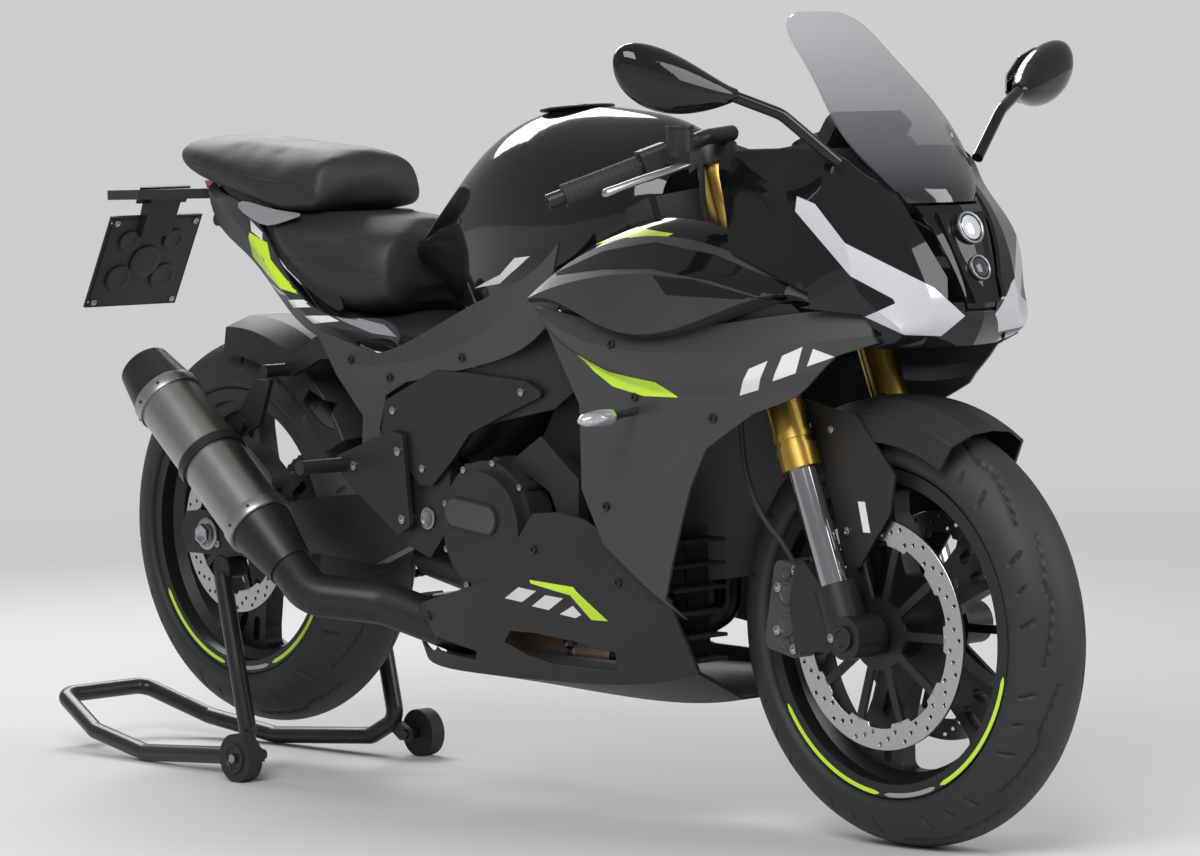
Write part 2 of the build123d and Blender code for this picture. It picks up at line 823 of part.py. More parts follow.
cap_length = 66
can_hanger_y = 158
can_hanger_thickness = 8
can_hanger = [(-440, 630), (-402, 630), (-432, 560), (-480, 540), (-500, 560)]
can_bolt_at = (-474, 562)
with BuildPart() as muffler_caps:
    with BuildSketch(Plane(can_high, z_dir=can_axis)):
        Circle(can_radius - 1)
    with BuildSketch(Plane(can_high + can_axis * cap_length, z_dir=can_axis)):
        Circle(can_radius - 12)
    loft()
    with BuildSketch(
        Plane(can_high + can_axis * cap_length, x_dir=(0, 1, 0), z_dir=can_axis)
    ):
        Circle(outlet_radius)
    extrude(amount=-outlet_depth, mode=Mode.SUBTRACT)
    with BuildSketch(Plane(can_low, z_dir=can_axis)):
        Circle(can_radius - 4)
    with BuildSketch(Plane(can_low - can_axis * cone_length, z_dir=can_axis)):
        Circle(pipe_radius + 3)
    loft()
    with BuildSketch(Plane(can_low + can_axis * 150, z_dir=can_axis)):
        Circle(can_radius + 2)
        Circle(can_radius - 2, mode=Mode.SUBTRACT)
    extrude(amount=16)
    add(plate(Plane.XZ.offset(can_hanger_y), can_hanger, can_hanger_thickness))
    with BuildSketch(Plane.XZ.offset(can_hanger_y)):
        with Locations(can_bolt_at):
            Circle(12)
    extrude(amount=14)
save(muffler_caps.part, "muffler_caps")

pipe_end = can_low - can_axis * cone_length
exhaust_run = [
    tuple(pipe_end), tuple(pipe_end - can_axis * 60), (-150, -150, 296), (-30, -110, 258),
    (180, -60, 232), (330, -60, 236),
]
header_radius = 19
with BuildPart() as exhaust_pipe:
    add(tube(exhaust_run, pipe_radius, 60))
    for side in (-1, 1):
        header = [
            (330, side * 55, 520), (392, side * 55, 500), (392, side * 50, 300),
            (330, -52 + side * 14, 240),
        ]
        add(tube(header, header_radius, 30))
    add(engine_block.part, mode=Mode.SUBTRACT)
save(exhaust_pipe.part, "exhaust_pipe")

with BuildPart() as subframe:
    rail = [
        (10, 137, 662), (-70, 108, 668), (-200, 100, 696), (-330, 95, 712), (-480, 84, 800),
        (-650, 56, 880),
    ]
    add(both_sides(tube(rail, 12, 40)))
    with BuildSketch(Plane.XZ):
        with Locations((-645, 878), (-330, 712)):
            Circle(10)
    extrude(amount=70, both=True)
    add(frame.part, mode=Mode.SUBTRACT)
save(subframe.part, "subframe")

# --- tank, seats, tail --------------------------------------------------------
def solid_skin(sections):
    """Closed body symmetrical about the middle: each row is x and the left (y, z) points."""
    with BuildPart() as body:
        for station, *half in sections:
            outline = half + [(-y, z) for y, z in reversed(half) if y]
            with BuildSketch(Plane.YZ.offset(station)):
                with BuildLine():
                    Spline(*outline)
                    Line(outline[-1], outline[0])
                make_face()
        loft()
    return body.part


tank_sections = [
    # x, bottom edge, knee, widest, shoulder, crown
    (-150, (40, 800), (58, 812), (66, 834), (50, 846), (24, 852), (0, 854)),
    (-88, (60, 770), (70, 800), (76, 850), (62, 890), (34, 914), (0, 922)),
    (0, (90, 740), (98, 780), (104, 856), (92, 928), (52, 972), (0, 986)),
    (90, (110, 735), (124, 790), (130, 878), (114, 962), (62, 1010), (0, 1026)),
    (200, (125, 750), (142, 805), (147, 890), (124, 972), (70, 1018), (0, 1036)),
    (320, (130, 790), (142, 830), (146, 884), (122, 952), (70, 1000), (0, 1022)),
    (430, (80, 840), (92, 858), (96, 890), (84, 925), (48, 948), (0, 956)),
]
with BuildPart() as fuel_tank:
    add(solid_skin(tank_sections))
    add(frame.part, mode=Mode.SUBTRACT)
save(fuel_tank.part, "fuel_tank")

rider_seat_sections = [
    (-452, (84, 850), (112, 850), (122, 866), (104, 884), (50, 888), (0, 888)),
    (-400, (90, 800), (132, 820), (138, 856), (112, 882), (56, 886), (0, 886)),
    (-330, (90, 750), (136, 780), (142, 840), (116, 874), (60, 882), (0, 882)),
    (-240, (90, 732), (130, 756), (138, 820), (112, 862), (60, 874), (0, 876)),
    (-170, (70, 735), (104, 750), (114, 800), (92, 846), (46, 858), (0, 860)),
]
with BuildPart() as rider_seat:
    add(solid_skin(rider_seat_sections))
save(rider_seat.part, "rider_seat")

passenger_seat_sections = [
    (-744, (46, 968), (64, 972), (72, 984), (58, 998), (28, 1004), (0, 1005)),
    (-690, (64, 950), (92, 956), (98, 976), (82, 1000), (40, 1010), (0, 1012)),
    (-600, (80, 926), (110, 934), (116, 962), (96, 994), (48, 1004), (0, 1006)),
    (-450, (90, 894), (114, 898), (119, 936), (98, 978), (50, 988), (0, 990)),
    (-335, (90, 894), (106, 897), (108, 926), (88, 962), (44, 974), (0, 976)),
]
with BuildPart() as passenger_seat:
    add(solid_skin(passenger_seat_sections))
save(passenger_seat.part, "passenger_seat")

with BuildPart() as tail_cowl:
    tail_sections = [
        # x, outer (y, z) points from the seat's edge down to the lower edge
        (-660, (62, 940), (74, 928), (70, 905)),
        (-590, (84, 915), (96, 895), (88, 850)),
        (-500, (108, 885), (118, 850), (108, 810)),
        (-400, (130, 800), (138, 775), (124, 740)),
        (-250, (140, 728), (146, 712), (136, 690)),
        (-101, (146, 700), (150, 692), (148, 684)),
    ]
    add(both_sides(skin(tail_sections, panel_wall)))
save(tail_cowl.part, "tail_cowl")

panel_leg = [
    (-292, 712), (-150, 676), (77, 683), (87, 657), (-4, 664), (-124, 613), (-142, 560),
    (-96, 486), (-121, 423), (-160, 440), (-186, 520), (-180, 580), (-240, 640),
]
peg_bracket = [
    (-236, 518), (-216, 484), (-92, 404), (-62, 418), (-74, 556), (-104, 560), (-196, 530),
]
peg_bosses = [(-84, 530), (-78, 428)]
boss_radius = 9
hanger_plate = 8
hanger_y = spar_outer_y + 15
with BuildPart() as boss_holes:
    with BuildSketch(Plane.XZ):
        with Locations(*peg_bosses):
            Circle(boss_radius)
    extrude(amount=spar_outer_y + 40, both=True)

with BuildPart() as side_panels:
    side_panel_sections = [
        (-230, (154, 690), (158, 660), (154, 630)),
        (-100, (158, 684), (164, 660), (158, 630)),
        (90, (160, 752), (168, 700), (160, 660)),
        (215, (182, 786), (190, 750), (176, 690)),
        (318, (194, 842), (206, 800), (190, 760)),
    ]
    rail_cover = skin(side_panel_sections, panel_wall)
    leg = plate(Plane.XZ.offset(-spar_outer_y - 5), panel_leg, panel_wall)
    add(both_sides(rail_cover + leg))
    add(boss_holes.part, mode=Mode.SUBTRACT)
save(side_panels.part, "side_panels")

cover_outline = [
    (-126, 604), (-6, 652), (70, 650), (199, 640), (242, 622), (150, 590), (70, 560), (30, 520),
    (-20, 480), (-50, 480), (-92, 520), (-134, 558),
]
with BuildPart() as frame_covers:
    cover = plate(Plane.XZ.offset(-spar_outer_y - 5), cover_outline, 8, 6)
    add(both_sides(cover - leg - rail_cover))
    add(boss_holes.part, mode=Mode.SUBTRACT)
save(frame_covers.part, "frame_covers")

hanger_outline = [
    (-250, 712), (-300, 716), (-432, 652), (-432, 632), (-404, 634), (-330, 662), (-262, 664),
    (-240, 690),
]
with BuildPart() as passenger_pegs:
    for side in (-1, 1):
        add(plate(Plane.XZ.offset(-side * 112), hanger_outline, 10, 5))
        with BuildSketch(Plane(origin=(-416, side * 117, 644), z_dir=(0, side, 0))):
            Circle(10)
        extrude(amount=46)
        with BuildSketch(Plane(origin=(-300, side * 90, 696), z_dir=(0, side, 0))):
            Circle(9)
        extrude(amount=30)
    add(both_sides(leg), mode=Mode.SUBTRACT)
    add(subframe.part, mode=Mode.SUBTRACT)
save(passenger_pegs.part, "passenger_pegs")

# --- fairing ------------------------------------------------------------------
pod_sections = [
    # x, (y, z): upper crease, widest, lower lip, tuck under
    (286, (222, 768), (228, 764), (229, 761), (221, 757)),
    (400, (203, 832), (232, 790), (238, 745), (214, 735)),
    (540, (198, 850), (232, 800), (245, 716), (216, 708)),
    (660, (190, 830), (214, 795), (224, 742), (198, 732)),
    (806, (176, 770), (180, 766), (181, 762), (172, 757)),
]
wing_sections = [
    # x, (y, z): under the pod, fold, step, side, lower side
    (292, (214, 752), (222, 748), (218, 740), (214, 730), (212, 700), (200, 300)),
    (440, (220, 730), (236, 700), (232, 672), (222, 660), (214, 560), (196, 300)),
    (600, (212, 725), (230, 690), (226, 650), (214, 630), (206, 540), (186, 300)),
    (760, (178, 742), (192, 700), (186, 660), (176, 640), (170, 560), (160, 300)),
    (905, (128, 738), (138, 715), (130, 690), (120, 670), (110, 560), (100, 300)),
]
pod_outline = [
    (280, 760), (400, 836), (540, 854), (660, 834), (812, 772), (812, 755), (660, 728), (540, 704),
    (400, 731),
]
wing_outline = [
    (292, 752), (400, 740), (540, 712), (640, 738), (760, 756), (880, 742), (893, 703),
    (836, 686), (770, 630), (705, 607), (623, 557), (588, 500), (545, 400), (523, 342),
    (560, 316), (498, 352), (407, 415), (368, 492), (375, 614), (330, 690),
]
with BuildPart() as side_fairings:
    wing = skin(wing_sections, panel_wall) & side_prism(wing_outline)
    pod = skin(pod_sections, panel_wall) - wing
    add(both_sides(wing))
save(side_fairings.part, "side_fairings")
with BuildPart() as fairing_pods:
    add(both_sides(pod))
save(fairing_pods.part, "fairing_pods")

belly_slots = [
    [(150, 258), (170, 276), (220, 276), (303, 268), (380, 256), (374, 229), (247, 231), (197, 240)],
    [(-36, 241), (-21, 254), (77, 239), (69, 225), (-32, 231)],
]
belly_sections = [
    # x, (y, z): top, hip, fold, keel
    (-140, (92, 480), (96, 250), (80, 214), (40, 206)),
    (60, (190, 480), (194, 330), (152, 204), (50, 184)),
    (220, (198, 480), (199, 342), (154, 204), (50, 176)),
    (380, (189, 480), (193, 342), (146, 208), (50, 173)),
    (516, (170, 480), (178, 330), (128, 230), (44, 186)),
]
belly_outline = [
    (-150, 150), (-150, 262), (-60, 300), (60, 328), (146, 350), (196, 392), (249, 452),
    (300, 456), (352, 448), (385, 434), (418, 404), (506, 346), (530, 330), (530, 150),
]
with BuildPart() as belly_pan:
    for station, *half in belly_sections:
        inner = [(y - panel_wall, z + (panel_wall if z < half[1][1] else 0)) for y, z in half]
        outline = half + [(-y, z) for y, z in reversed(half)]
        outline += [(-y, z) for y, z in inner] + list(reversed(inner))
        with BuildSketch(Plane.YZ.offset(station)):
            Polygon(*outline, align=None)
    loft()
    with BuildSketch(Plane.XZ):
        Polygon(*belly_outline, align=None)
    extrude(amount=260, both=True, mode=Mode.INTERSECT)
    add(tube(exhaust_run, pipe_radius + 8, 60), mode=Mode.SUBTRACT)
    for slot in belly_slots:
        with BuildSketch(Plane.XZ):
            Polygon(*slot, align=None)
        extrude(amount=260, both=True, mode=Mode.SUBTRACT)
save(belly_pan.part, "belly_pan")


def wrap_stack(rows, wall):
    """Wall wrapped round the front: each row is z and the left (x, y) points, front to back."""
    with BuildPart() as wrap:
        for height, *left in rows:
            outer = list(reversed([(x, -y) for x, y in left if y])) + left
            inner = [(x - wall, y - wall if y > 0 else (y + wall if y < 0 else 0)) for x, y in outer]
            with BuildSketch(Plane.XY.offset(height)):
                Polygon(*outer, *reversed(inner), align=None)
        loft()
    return wrap.part


def quarter_prism(corners, start, depth):
    """Prism through the left front quarter, its outline seen from 45 degrees off the nose."""
    with BuildPart() as prism:
        with BuildSketch(Plane(origin=(0, 0, 0), x_dir=(1, -1, 0), z_dir=(-1, -1, 0)).offset(-start)):
            Polygon(*corners, align=None)
        extrude(amount=-depth)
    return prism.part


nose_rows = [
    # z, (x, y): centre, lobe, corner, side, back
    (694, (938, 0), (915, 70), (875, 120), (800, 165), (700, 196)),
    (745, (962, 0), (942, 80), (905, 145), (815, 180), (690, 205)),
    (795, (955, 0), (932, 90), (877, 168), (800, 188), (680, 200)),
    (840, (942, 0), (912, 95), (866, 168), (790, 186), (670, 196)),
    (880, (923, 0), (888, 95), (838, 165), (780, 185), (660, 190)),
    (925, (875, 0), (850, 90), (812, 155), (760, 172), (640, 180)),
    (965, (835, 0), (818, 80), (780, 140), (735, 152), (640, 165)),
]
lamp_outline = [
    (431, 902), (455, 891), (494, 838), (612, 775), (653, 735), (620, 709), (571, 713),
    (518, 739), (559, 756), (556, 762), (500, 794), (428, 882),
]
screen_outline = [(500, 980), (511, 963), (551, 925), (575, 885), (649, 754), (900, 754), (900, 980)]
nose_wall = wrap_stack(nose_rows, panel_wall)
lamp_cutters = both_sides(quarter_prism(lamp_outline, 668, 120))
screen_cutters = both_sides(quarter_prism(screen_outline, 630, 300))
with BuildPart() as nose_cowl:
    add(nose_wall)
    add(lamp_cutters, mode=Mode.SUBTRACT)
    add(screen_cutters, mode=Mode.SUBTRACT)
    with BuildSketch(Plane.YZ.offset(780)):
        Polygon((-60, 990), (-60, 880), (-30, 740), (30, 740), (60, 880), (60, 990), align=None)
    extrude(amount=250, mode=Mode.SUBTRACT)
    add(both_sides(side_prism(pod_outline, 100)), mode=Mode.SUBTRACT)
    add(both_sides(side_prism(wing_outline, 60)), mode=Mode.SUBTRACT)
save(nose_cowl.part, "nose_cowl")

with BuildPart() as running_lamps:
    for cutter in lamp_cutters:
        add(nose_wall & cutter)
save(running_lamps.part, "running_lamps")

screen_rows = [
    # z, x of the side edges, half width, bulge of the middle
    (1155, 660, 36, 6),
    (1128, 680, 79, 16),
    (1072, 734, 93, 24),
    (1016, 784, 107, 32),
    (963, 828, 106, 36),
    (925, 862, 90, 32),
    (888, 886, 66, 26),
]
with BuildPart() as windscreen:
    for height, edge_x, half, bulge in screen_rows:
        with BuildSketch(Plane.XY.offset(height)):
            with BuildLine():
                ThreePointArc((edge_x, -half), (edge_x + bulge, 0), (edge_x, half))
                Line((edge_x, half), (edge_x - screen_wall, half))
                ThreePointArc(
                    (edge_x - screen_wall, half),
                    (edge_x + bulge - screen_wall, 0),
                    (edge_x - screen_wall, -half),
                )
                Line((edge_x - screen_wall, -half), (edge_x, -half))
            make_face()
    loft()
save(windscreen.part, "windscreen")

with BuildPart() as headlamp:
    with BuildSketch(Plane.XY.offset(752)):
        with Locations((944, 0)):
            Rectangle(48, 46)
    with BuildSketch(Plane.XY.offset(874)):
        with Locations((893, 0)):
            Rectangle(56, 88)
    loft()
    for x, z, radius in ((934, 842, 22), (950, 788, 17)):
        with BuildSketch(Plane(origin=(x - 26, 0, z), z_dir=(0.94, 0, 0.34))):
            Circle(radius)
        extrude(amount=34)
save(headlamp.part, "headlamp")

# --- mirrors ------------------------------------------------------------------
mirror_back_x = 712
mirror_sections = [
    # outward reach, x and z of the middle, half depth, half height
    (278, 774, 1040, 11, 9),
    (312, 758, 1044, 26, 24),
    (350, 742, 1054, 34, 38),
    (390, 732, 1066, 34, 42),
    (424, 726, 1078, 24, 32),
    (440, 722, 1086, 6, 10),
]
with BuildPart() as mirror_shell:
    for reach, x, z, depth, height in mirror_sections:
        with BuildSketch(Plane(origin=(x, reach, z), x_dir=(1, 0, 0), z_dir=(0, -1, 0))):
            Ellipse(depth, height)
    loft()
    with BuildSketch(Plane.YZ.offset(mirror_back_x)):
        Rectangle(1200, 2400)
    extrude(amount=-60, mode=Mode.SUBTRACT)
mirror_stem = tube([(826, 137, 946), (800, 215, 1012), (772, 290, 1042)], 8, 60)
with BuildPart() as mirrors:
    add(both_sides(mirror_shell.part + mirror_stem))
save(mirrors.part, "mirrors")

glass_outline = [
    (322, 1034), (350, 1021), (390, 1030), (420, 1054), (428, 1076), (418, 1096), (386, 1102),
    (350, 1088), (324, 1062),
]
with BuildPart() as mirror_glass:
    with BuildSketch(Plane.YZ.offset(mirror_back_x)):
        Polygon(*glass_outline, align=None)
        fillet(vertices(), 12)
    extrude(amount=-3)
    mirror(about=Plane.XZ)
save(mirror_glass.part, "mirror_glass")

# --- tail bracket, lamp, plate holder ------------------------------------------
bracket_height = 920
bracket_thickness = 16
bracket_half = [(-640, 40), (-700, 52), (-880, 52), (-990, 34)]
plate_half = 93
plate_rise = 86
tab_outline = [(30, -86), (30, -110), (50, -110), (50, -140)]
plate_thickness = 4
plate_plane = Plane(origin=(-943, 0, 811), x_dir=(0, 1, 0), z_dir=(-0.866, 0, 0.5))
with BuildPart() as plate_holder:
    bracket = bracket_half + [(x, -y) for x, y in reversed(bracket_half)]
    add(plate(Plane.XY.offset(bracket_height), bracket, bracket_thickness))
    right = [(plate_half, plate_rise), (plate_half, -plate_rise)] + tab_outline
    add(plate(plate_plane, right + [(-x, y) for x, y in reversed(right)], plate_thickness))
    with BuildSketch(Plane.XZ):
        Polygon((-896, 912), (-870, 912), (-905, 850), (-920, 850), align=None)
    extrude(amount=30, both=True)
    with BuildSketch(plate_plane):
        with GridLocations(160, 150, 2, 2):
            SlotOverall(20, 9)
        for radius, count, hole in ((54, 8, 8), (28, 4, 11)):
            with PolarLocations(radius, count, start_angle=22):
                Circle(hole)
        with Locations((0, -122)):
            SlotOverall(60, 9)
    extrude(amount=10, both=True, mode=Mode.SUBTRACT)
save(plate_holder.part, "plate_holder")

# --- paddock stand --------------------------------------------------------------
cradle_x = -561
cradle_z = 328
cradle_y = 126
stand_axle_radius = 8
axle_foot = [(-512, 66), (-466, 46), (-466, 28), (-490, 28), (-524, 50)]
stand_half = [
    (cradle_x, 146, 318), (-524, stand_y, 170), (-500, stand_y, 60), (-560, stand_y - 4, 30),
    (-800, 134, stand_tube_radius), (-960, 118, 36), (stand_handle_x, 84, 82),
]
with BuildPart() as paddock_stand:
    rail = stand_half + [(x, -y, z) for x, y, z in reversed(stand_half)]
    add(tube(rail, stand_tube_radius, 28))
    for side in (-1, 1):
        add(drum((cradle_x, side * cradle_y, cradle_z), 17, 36))
        add(drum((stand_wheel_x, side * (stand_y + 20), stand_wheel_radius), stand_axle_radius, 60))
        add(plate(Plane.XZ.offset(side * (stand_y + 2)), axle_foot, 10))
save(paddock_stand.part, "paddock_stand")
for side, name in ((-1, "stand_wheel_right"), (1, "stand_wheel_left")):
    wheel = drum(
        (stand_wheel_x, side * (stand_y + 36), stand_wheel_radius), stand_wheel_radius,
        stand_wheel_width, stand_axle_radius + axle_gap,
    )
    save(wheel, name)

with BuildPart() as nose_mask:
    add(nose_wall)
    with BuildSketch(Plane.YZ.offset(780)):
        Polygon((-62, 884), (-26, 745), (26, 745), (62, 884), align=None)
    extrude(amount=250, mode=Mode.INTERSECT)
    add(headlamp.part, mode=Mode.SUBTRACT)
save(nose_mask.part, "nose_mask")

stay_outline = [(560, 880), (560, 810), (700, 790), (860, 790), (860, 850), (810, 935), (780, 935)]
mirror_bar_at = (792, 922)
mirror_bar_radius = 9
mirror_bar_half = 132
with BuildPart() as fairing_stay:
    with BuildSketch(Plane.XZ):
        Polygon(*stay_outline, align=None)
    extrude(amount=10, both=True)
    with BuildSketch(Plane.XZ):
        with Locations(mirror_bar_at):
            Circle(mirror_bar_radius)
    extrude(amount=mirror_bar_half, both=True)
    add(headlamp.part, mode=Mode.SUBTRACT)
    with BuildSketch(fork):
        with Locations((-clamp_offset, 0)):
            Circle(head_tube_radius)
    extrude(amount=fork_top, mode=Mode.SUBTRACT)
save(fairing_stay.part, "fairing_stay")

with BuildPart() as dash:
    with BuildSketch(Plane(origin=(742, 0, 968), x_dir=(0, 1, 0), z_dir=(-0.8, 0, 0.6))):
        RectangleRounded(150, 84, 14)
    extrude(amount=22)
    with BuildSketch(Plane.XZ):
        Polygon((775, 940), (800, 940), (770, 975), (745, 968), align=None)
    extrude(amount=20, both=True)
save(dash.part, "dash")

stem_start = (498, 226, 606)
stem_end = (492, 262, 602)
lens_end = (484, 312, 598)
with BuildPart() as indicators:
    for side in (-1, 1):
        start, end, tip = [(x, side * y, z) for x, y, z in (stem_start, stem_end, lens_end)]
        add(tube([start, end], 7, 5))
        with BuildSketch(Plane(origin=end, z_dir=(0, side, 0))):
            Ellipse(22, 12)
        with BuildSketch(Plane(origin=tip, z_dir=(0, side, 0))):
            Ellipse(12, 8)
        loft()
save(indicators.part, "indicators")

with BuildPart() as radiator:
    with BuildSketch(Plane.XZ):
        Polygon((422, 360), (448, 352), (486, 600), (460, 608), align=None)
    extrude(amount=128, both=True)
save(radiator.part, "radiator")

with BuildPart() as duct_louvres:
    for side in (-1, 1):
        with BuildSketch(Plane.XY.offset(240)):
            with Locations((478, side * 92)):
                Rectangle(4, 44)
        extrude(amount=196)
        for slat in range(6):
            height = 246 + 34 * slat
            reach = min(166, 118 + 0.54 * (height - 236))
            with BuildSketch(Plane.XY.offset(height)):
                with Locations((496, side * (70 + reach) / 2)):
                    Rectangle(40, reach - 70)
            extrude(amount=5)
save(duct_louvres.part, "duct_louvres")

shock_low = Vector(-160, 0, 459)
shock_high = Vector(-8, 0, 640)
shock_axis = (shock_high - shock_low).normalized()
with BuildPart() as shock:
    add(tube([shock_low, shock_high], 18, 5))
    for start, length, radius in ((36, 8, 34), (196, 14, 34)):
        with BuildSketch(Plane(shock_low + shock_axis * start, z_dir=shock_axis)):
            Circle(radius)
        extrude(amount=length)
    for coil in range(6):
        with BuildSketch(Plane(shock_low + shock_axis * (54 + 24 * coil), z_dir=shock_axis)):
            Circle(31)
        extrude(amount=12)
    add(swingarm.part, mode=Mode.SUBTRACT)
save(shock.part, "shock")


def hugger_arc(inner, half):
    """Inner guard over the front of the rear tyre, from above the axle forward."""
    with BuildPart() as guard:
        with BuildSketch(Plane(origin=rear_axle, x_dir=(0, 1, 0), z_dir=(1, 0, 0))):
            with BuildLine():
                arch = Polyline(
                    (-half, inner - 40), (-half + 6, inner), (-half * 0.4, inner + 16),
                    (half * 0.4, inner + 16), (half - 6, inner), (half, inner - 40),
                )
                offset(arch, amount=panel_wall, side=Side.LEFT, closed=True)
            make_face()
        revolve(axis=Axis(rear_axle, (0, 1, 0)), revolution_arc=62)
    return guard.part


with BuildPart() as hugger:
    add(hugger_arc(rear_tyre_radius + 12, 88))
    with BuildSketch(Plane.XZ):
        Polygon((-400, 612), (-352, 590), (-340, 548), (-372, 560), (-412, 592), align=None)
    extrude(amount=120, both=True, mode=Mode.SUBTRACT)
save(hugger.part, "hugger")

stand_foot = (-385, 138, 262)
stand_leg_radius = 10
with BuildPart() as side_stand:
    add(tube([stand_pivot, (-190, 125, 290), stand_foot], stand_leg_radius, 30))
    with BuildSketch(Plane(origin=(stand_pivot[0], 136, stand_pivot[2]), z_dir=(0, -1, 0))):
        Circle(18)
    extrude(amount=22)
    add(
        plate(
            Plane(origin=stand_foot, x_dir=(0, 1, 0), z_dir=(-1, 0, -0.15)),
            [(-22, -14), (22, -14), (22, 14), (-22, 14)],
            8,
            4,
        )
    )
    with BuildSketch(Plane(origin=(stand_pivot[0], 145, stand_pivot[2]), z_dir=(0, -1, 0))):
        Circle(stand_pin_radius + axle_gap)
    extrude(amount=60, mode=Mode.SUBTRACT)
save(side_stand.part, "side_stand")

with BuildPart() as footrests:
    for side in (-1, 1):
        add(plate(Plane.XZ.offset(-side * hanger_y), peg_bracket, hanger_plate, 8))
        for x, z in peg_bosses:
            with BuildSketch(Plane(origin=(x, side * spar_outer_y, z), z_dir=(0, side, 0))):
                Circle(boss_radius)
            extrude(amount=hanger_y - spar_outer_y)
        with BuildSketch(Plane(origin=(-215, side * hanger_y, 506), z_dir=(0, side, 0))):
            Circle(11)
        extrude(amount=90)
save(footrests.part, "footrests")

with BuildPart() as tail_lamp:
    with BuildSketch(Plane.YZ.offset(-700)):
        Polygon((-46, 929), (46, 929), (50, 941), (-50, 941), align=None)
    extrude(amount=40)
save(tail_lamp.part, "tail_lamp")
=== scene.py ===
import math
import bmesh
import bpy
from mathutils import Matrix, Vector


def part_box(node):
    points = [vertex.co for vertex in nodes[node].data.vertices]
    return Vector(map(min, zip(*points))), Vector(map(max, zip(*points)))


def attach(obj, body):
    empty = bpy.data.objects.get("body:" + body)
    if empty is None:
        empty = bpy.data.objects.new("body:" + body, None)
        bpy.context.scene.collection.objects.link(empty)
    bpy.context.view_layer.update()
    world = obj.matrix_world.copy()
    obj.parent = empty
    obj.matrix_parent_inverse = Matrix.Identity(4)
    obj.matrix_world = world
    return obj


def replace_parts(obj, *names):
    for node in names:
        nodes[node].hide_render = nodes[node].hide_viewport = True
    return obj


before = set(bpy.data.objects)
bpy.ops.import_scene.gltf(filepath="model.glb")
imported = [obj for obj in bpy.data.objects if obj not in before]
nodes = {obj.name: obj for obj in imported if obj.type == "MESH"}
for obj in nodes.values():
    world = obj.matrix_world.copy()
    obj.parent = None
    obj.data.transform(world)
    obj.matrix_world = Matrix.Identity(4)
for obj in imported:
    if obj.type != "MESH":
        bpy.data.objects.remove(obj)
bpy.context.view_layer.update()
print("frame loaded")


class Wire:
    # one output socket; sums on it add Math nodes
    def __init__(self, tree, socket=None):
        self.tree, self.socket = tree, socket

    def make(self, kind, settings=None, inputs=None, output=0):
        made = self.tree.nodes.new(kind)
        for name, value in (settings or {}).items():
            setattr(made, name, value)
        for name, value in (inputs or {}).items():
            if isinstance(value, Wire):
                self.tree.links.new(value.socket, made.inputs[name])
            else:
                made.inputs[name].default_value = value
        return Wire(self.tree, made.outputs[output])

    def sums(self, operation, *values):
        return self.make("ShaderNodeMath", {"operation": operation}, dict(enumerate(values)))

    def __add__(self, other):
        return self.sums("ADD", self, other)

    def __sub__(self, other):
        return self.sums("SUBTRACT", self, other)

    def __rsub__(self, other):
        return self.sums("SUBTRACT", other, self)

    def __mul__(self, other):
        return self.sums("MULTIPLY", self, other)

    def __truediv__(self, other):
        return self.sums("DIVIDE", self, other)

    def __pow__(self, other):
        return self.sums("POWER", self, other)

    def mix(self, dark, light):
        # self picks between two colours
        inputs = {0: self, 6: (*dark, 1), 7: (*light, 1)}
        return self.make("ShaderNodeMix", {"data_type": "RGBA"}, inputs, 2)

    def axes(self):
        parts = self.tree.nodes.new("ShaderNodeSeparateXYZ")
        self.tree.links.new(self.socket, parts.inputs[0])
        return [Wire(self.tree, out) for out in parts.outputs]

    def noise(self, scale, detail, stretch=None):
        place = self if stretch is None else self.stretched(stretch)
        return place.make("ShaderNodeTexNoise", None, {"Vector": place, "Scale": scale, "Detail": detail})

    def cells(self, scale):
        return self.make("ShaderNodeTexVoronoi", None, {"Vector": self, "Scale": scale})

    def stretched(self, scale):
        return self.make("ShaderNodeMapping", None, {"Vector": self, "Scale": scale})

    def bump(self, strength, distance):
        return self.make("ShaderNodeBump", None, {"Height": self, "Strength": strength, "Distance": distance})


def newMaterial(name, recipe, fixed):
    # recipe turns object coordinates into the sockets that vary
    made = bpy.data.materials.new(name)
    made.use_nodes = True
    tree = made.node_tree
    shader = tree.nodes["Principled BSDF"]
    place = Wire(tree).make("ShaderNodeTexCoord", None, None, 3)
    for socket, value in fixed.items():
        shader.inputs[socket].default_value = value
    for socket, value in recipe(place).items():
        tree.links.new(value.socket, shader.inputs[socket])
    return made


def speckled(dark, light, rough, grain=900, bump=0.15, depth=0.0004, stretch=None, patchSize=6):
    # paint, plastic or metal: slow colour drift, uneven gloss and a fine grain
    def recipe(place):
        drift = place.noise(patchSize, 4)
        fine = place.noise(grain, 2, stretch)
        return {
            "Base Color": drift.mix(dark, light),
            "Roughness": (drift - 0.5) * 0.12 + (fine - 0.5) * 0.08 + rough,
            "Normal": fine.bump(bump, depth),
        }

    return recipe


def turned(dark, light, rough, axle, rings=1400):
    # a face turned on a lathe around an axle along y
    def recipe(place):
        x, _, z = place.axes()
        reach = ((x - axle[0]) ** 2 + (z - axle[1]) ** 2) ** 0.5
        groove = place.make("ShaderNodeTexNoise", {"noise_dimensions": "1D"}, {"W": reach, "Scale": rings})
        drift = place.noise(9, 3)
        return {
            "Base Color": groove.mix(dark, light),
            "Roughness": (groove - 0.5) * 0.2 + (drift - 0.5) * 0.15 + rough,
            "Normal": groove.bump(0.12, 0.0002),
        }

    return recipe


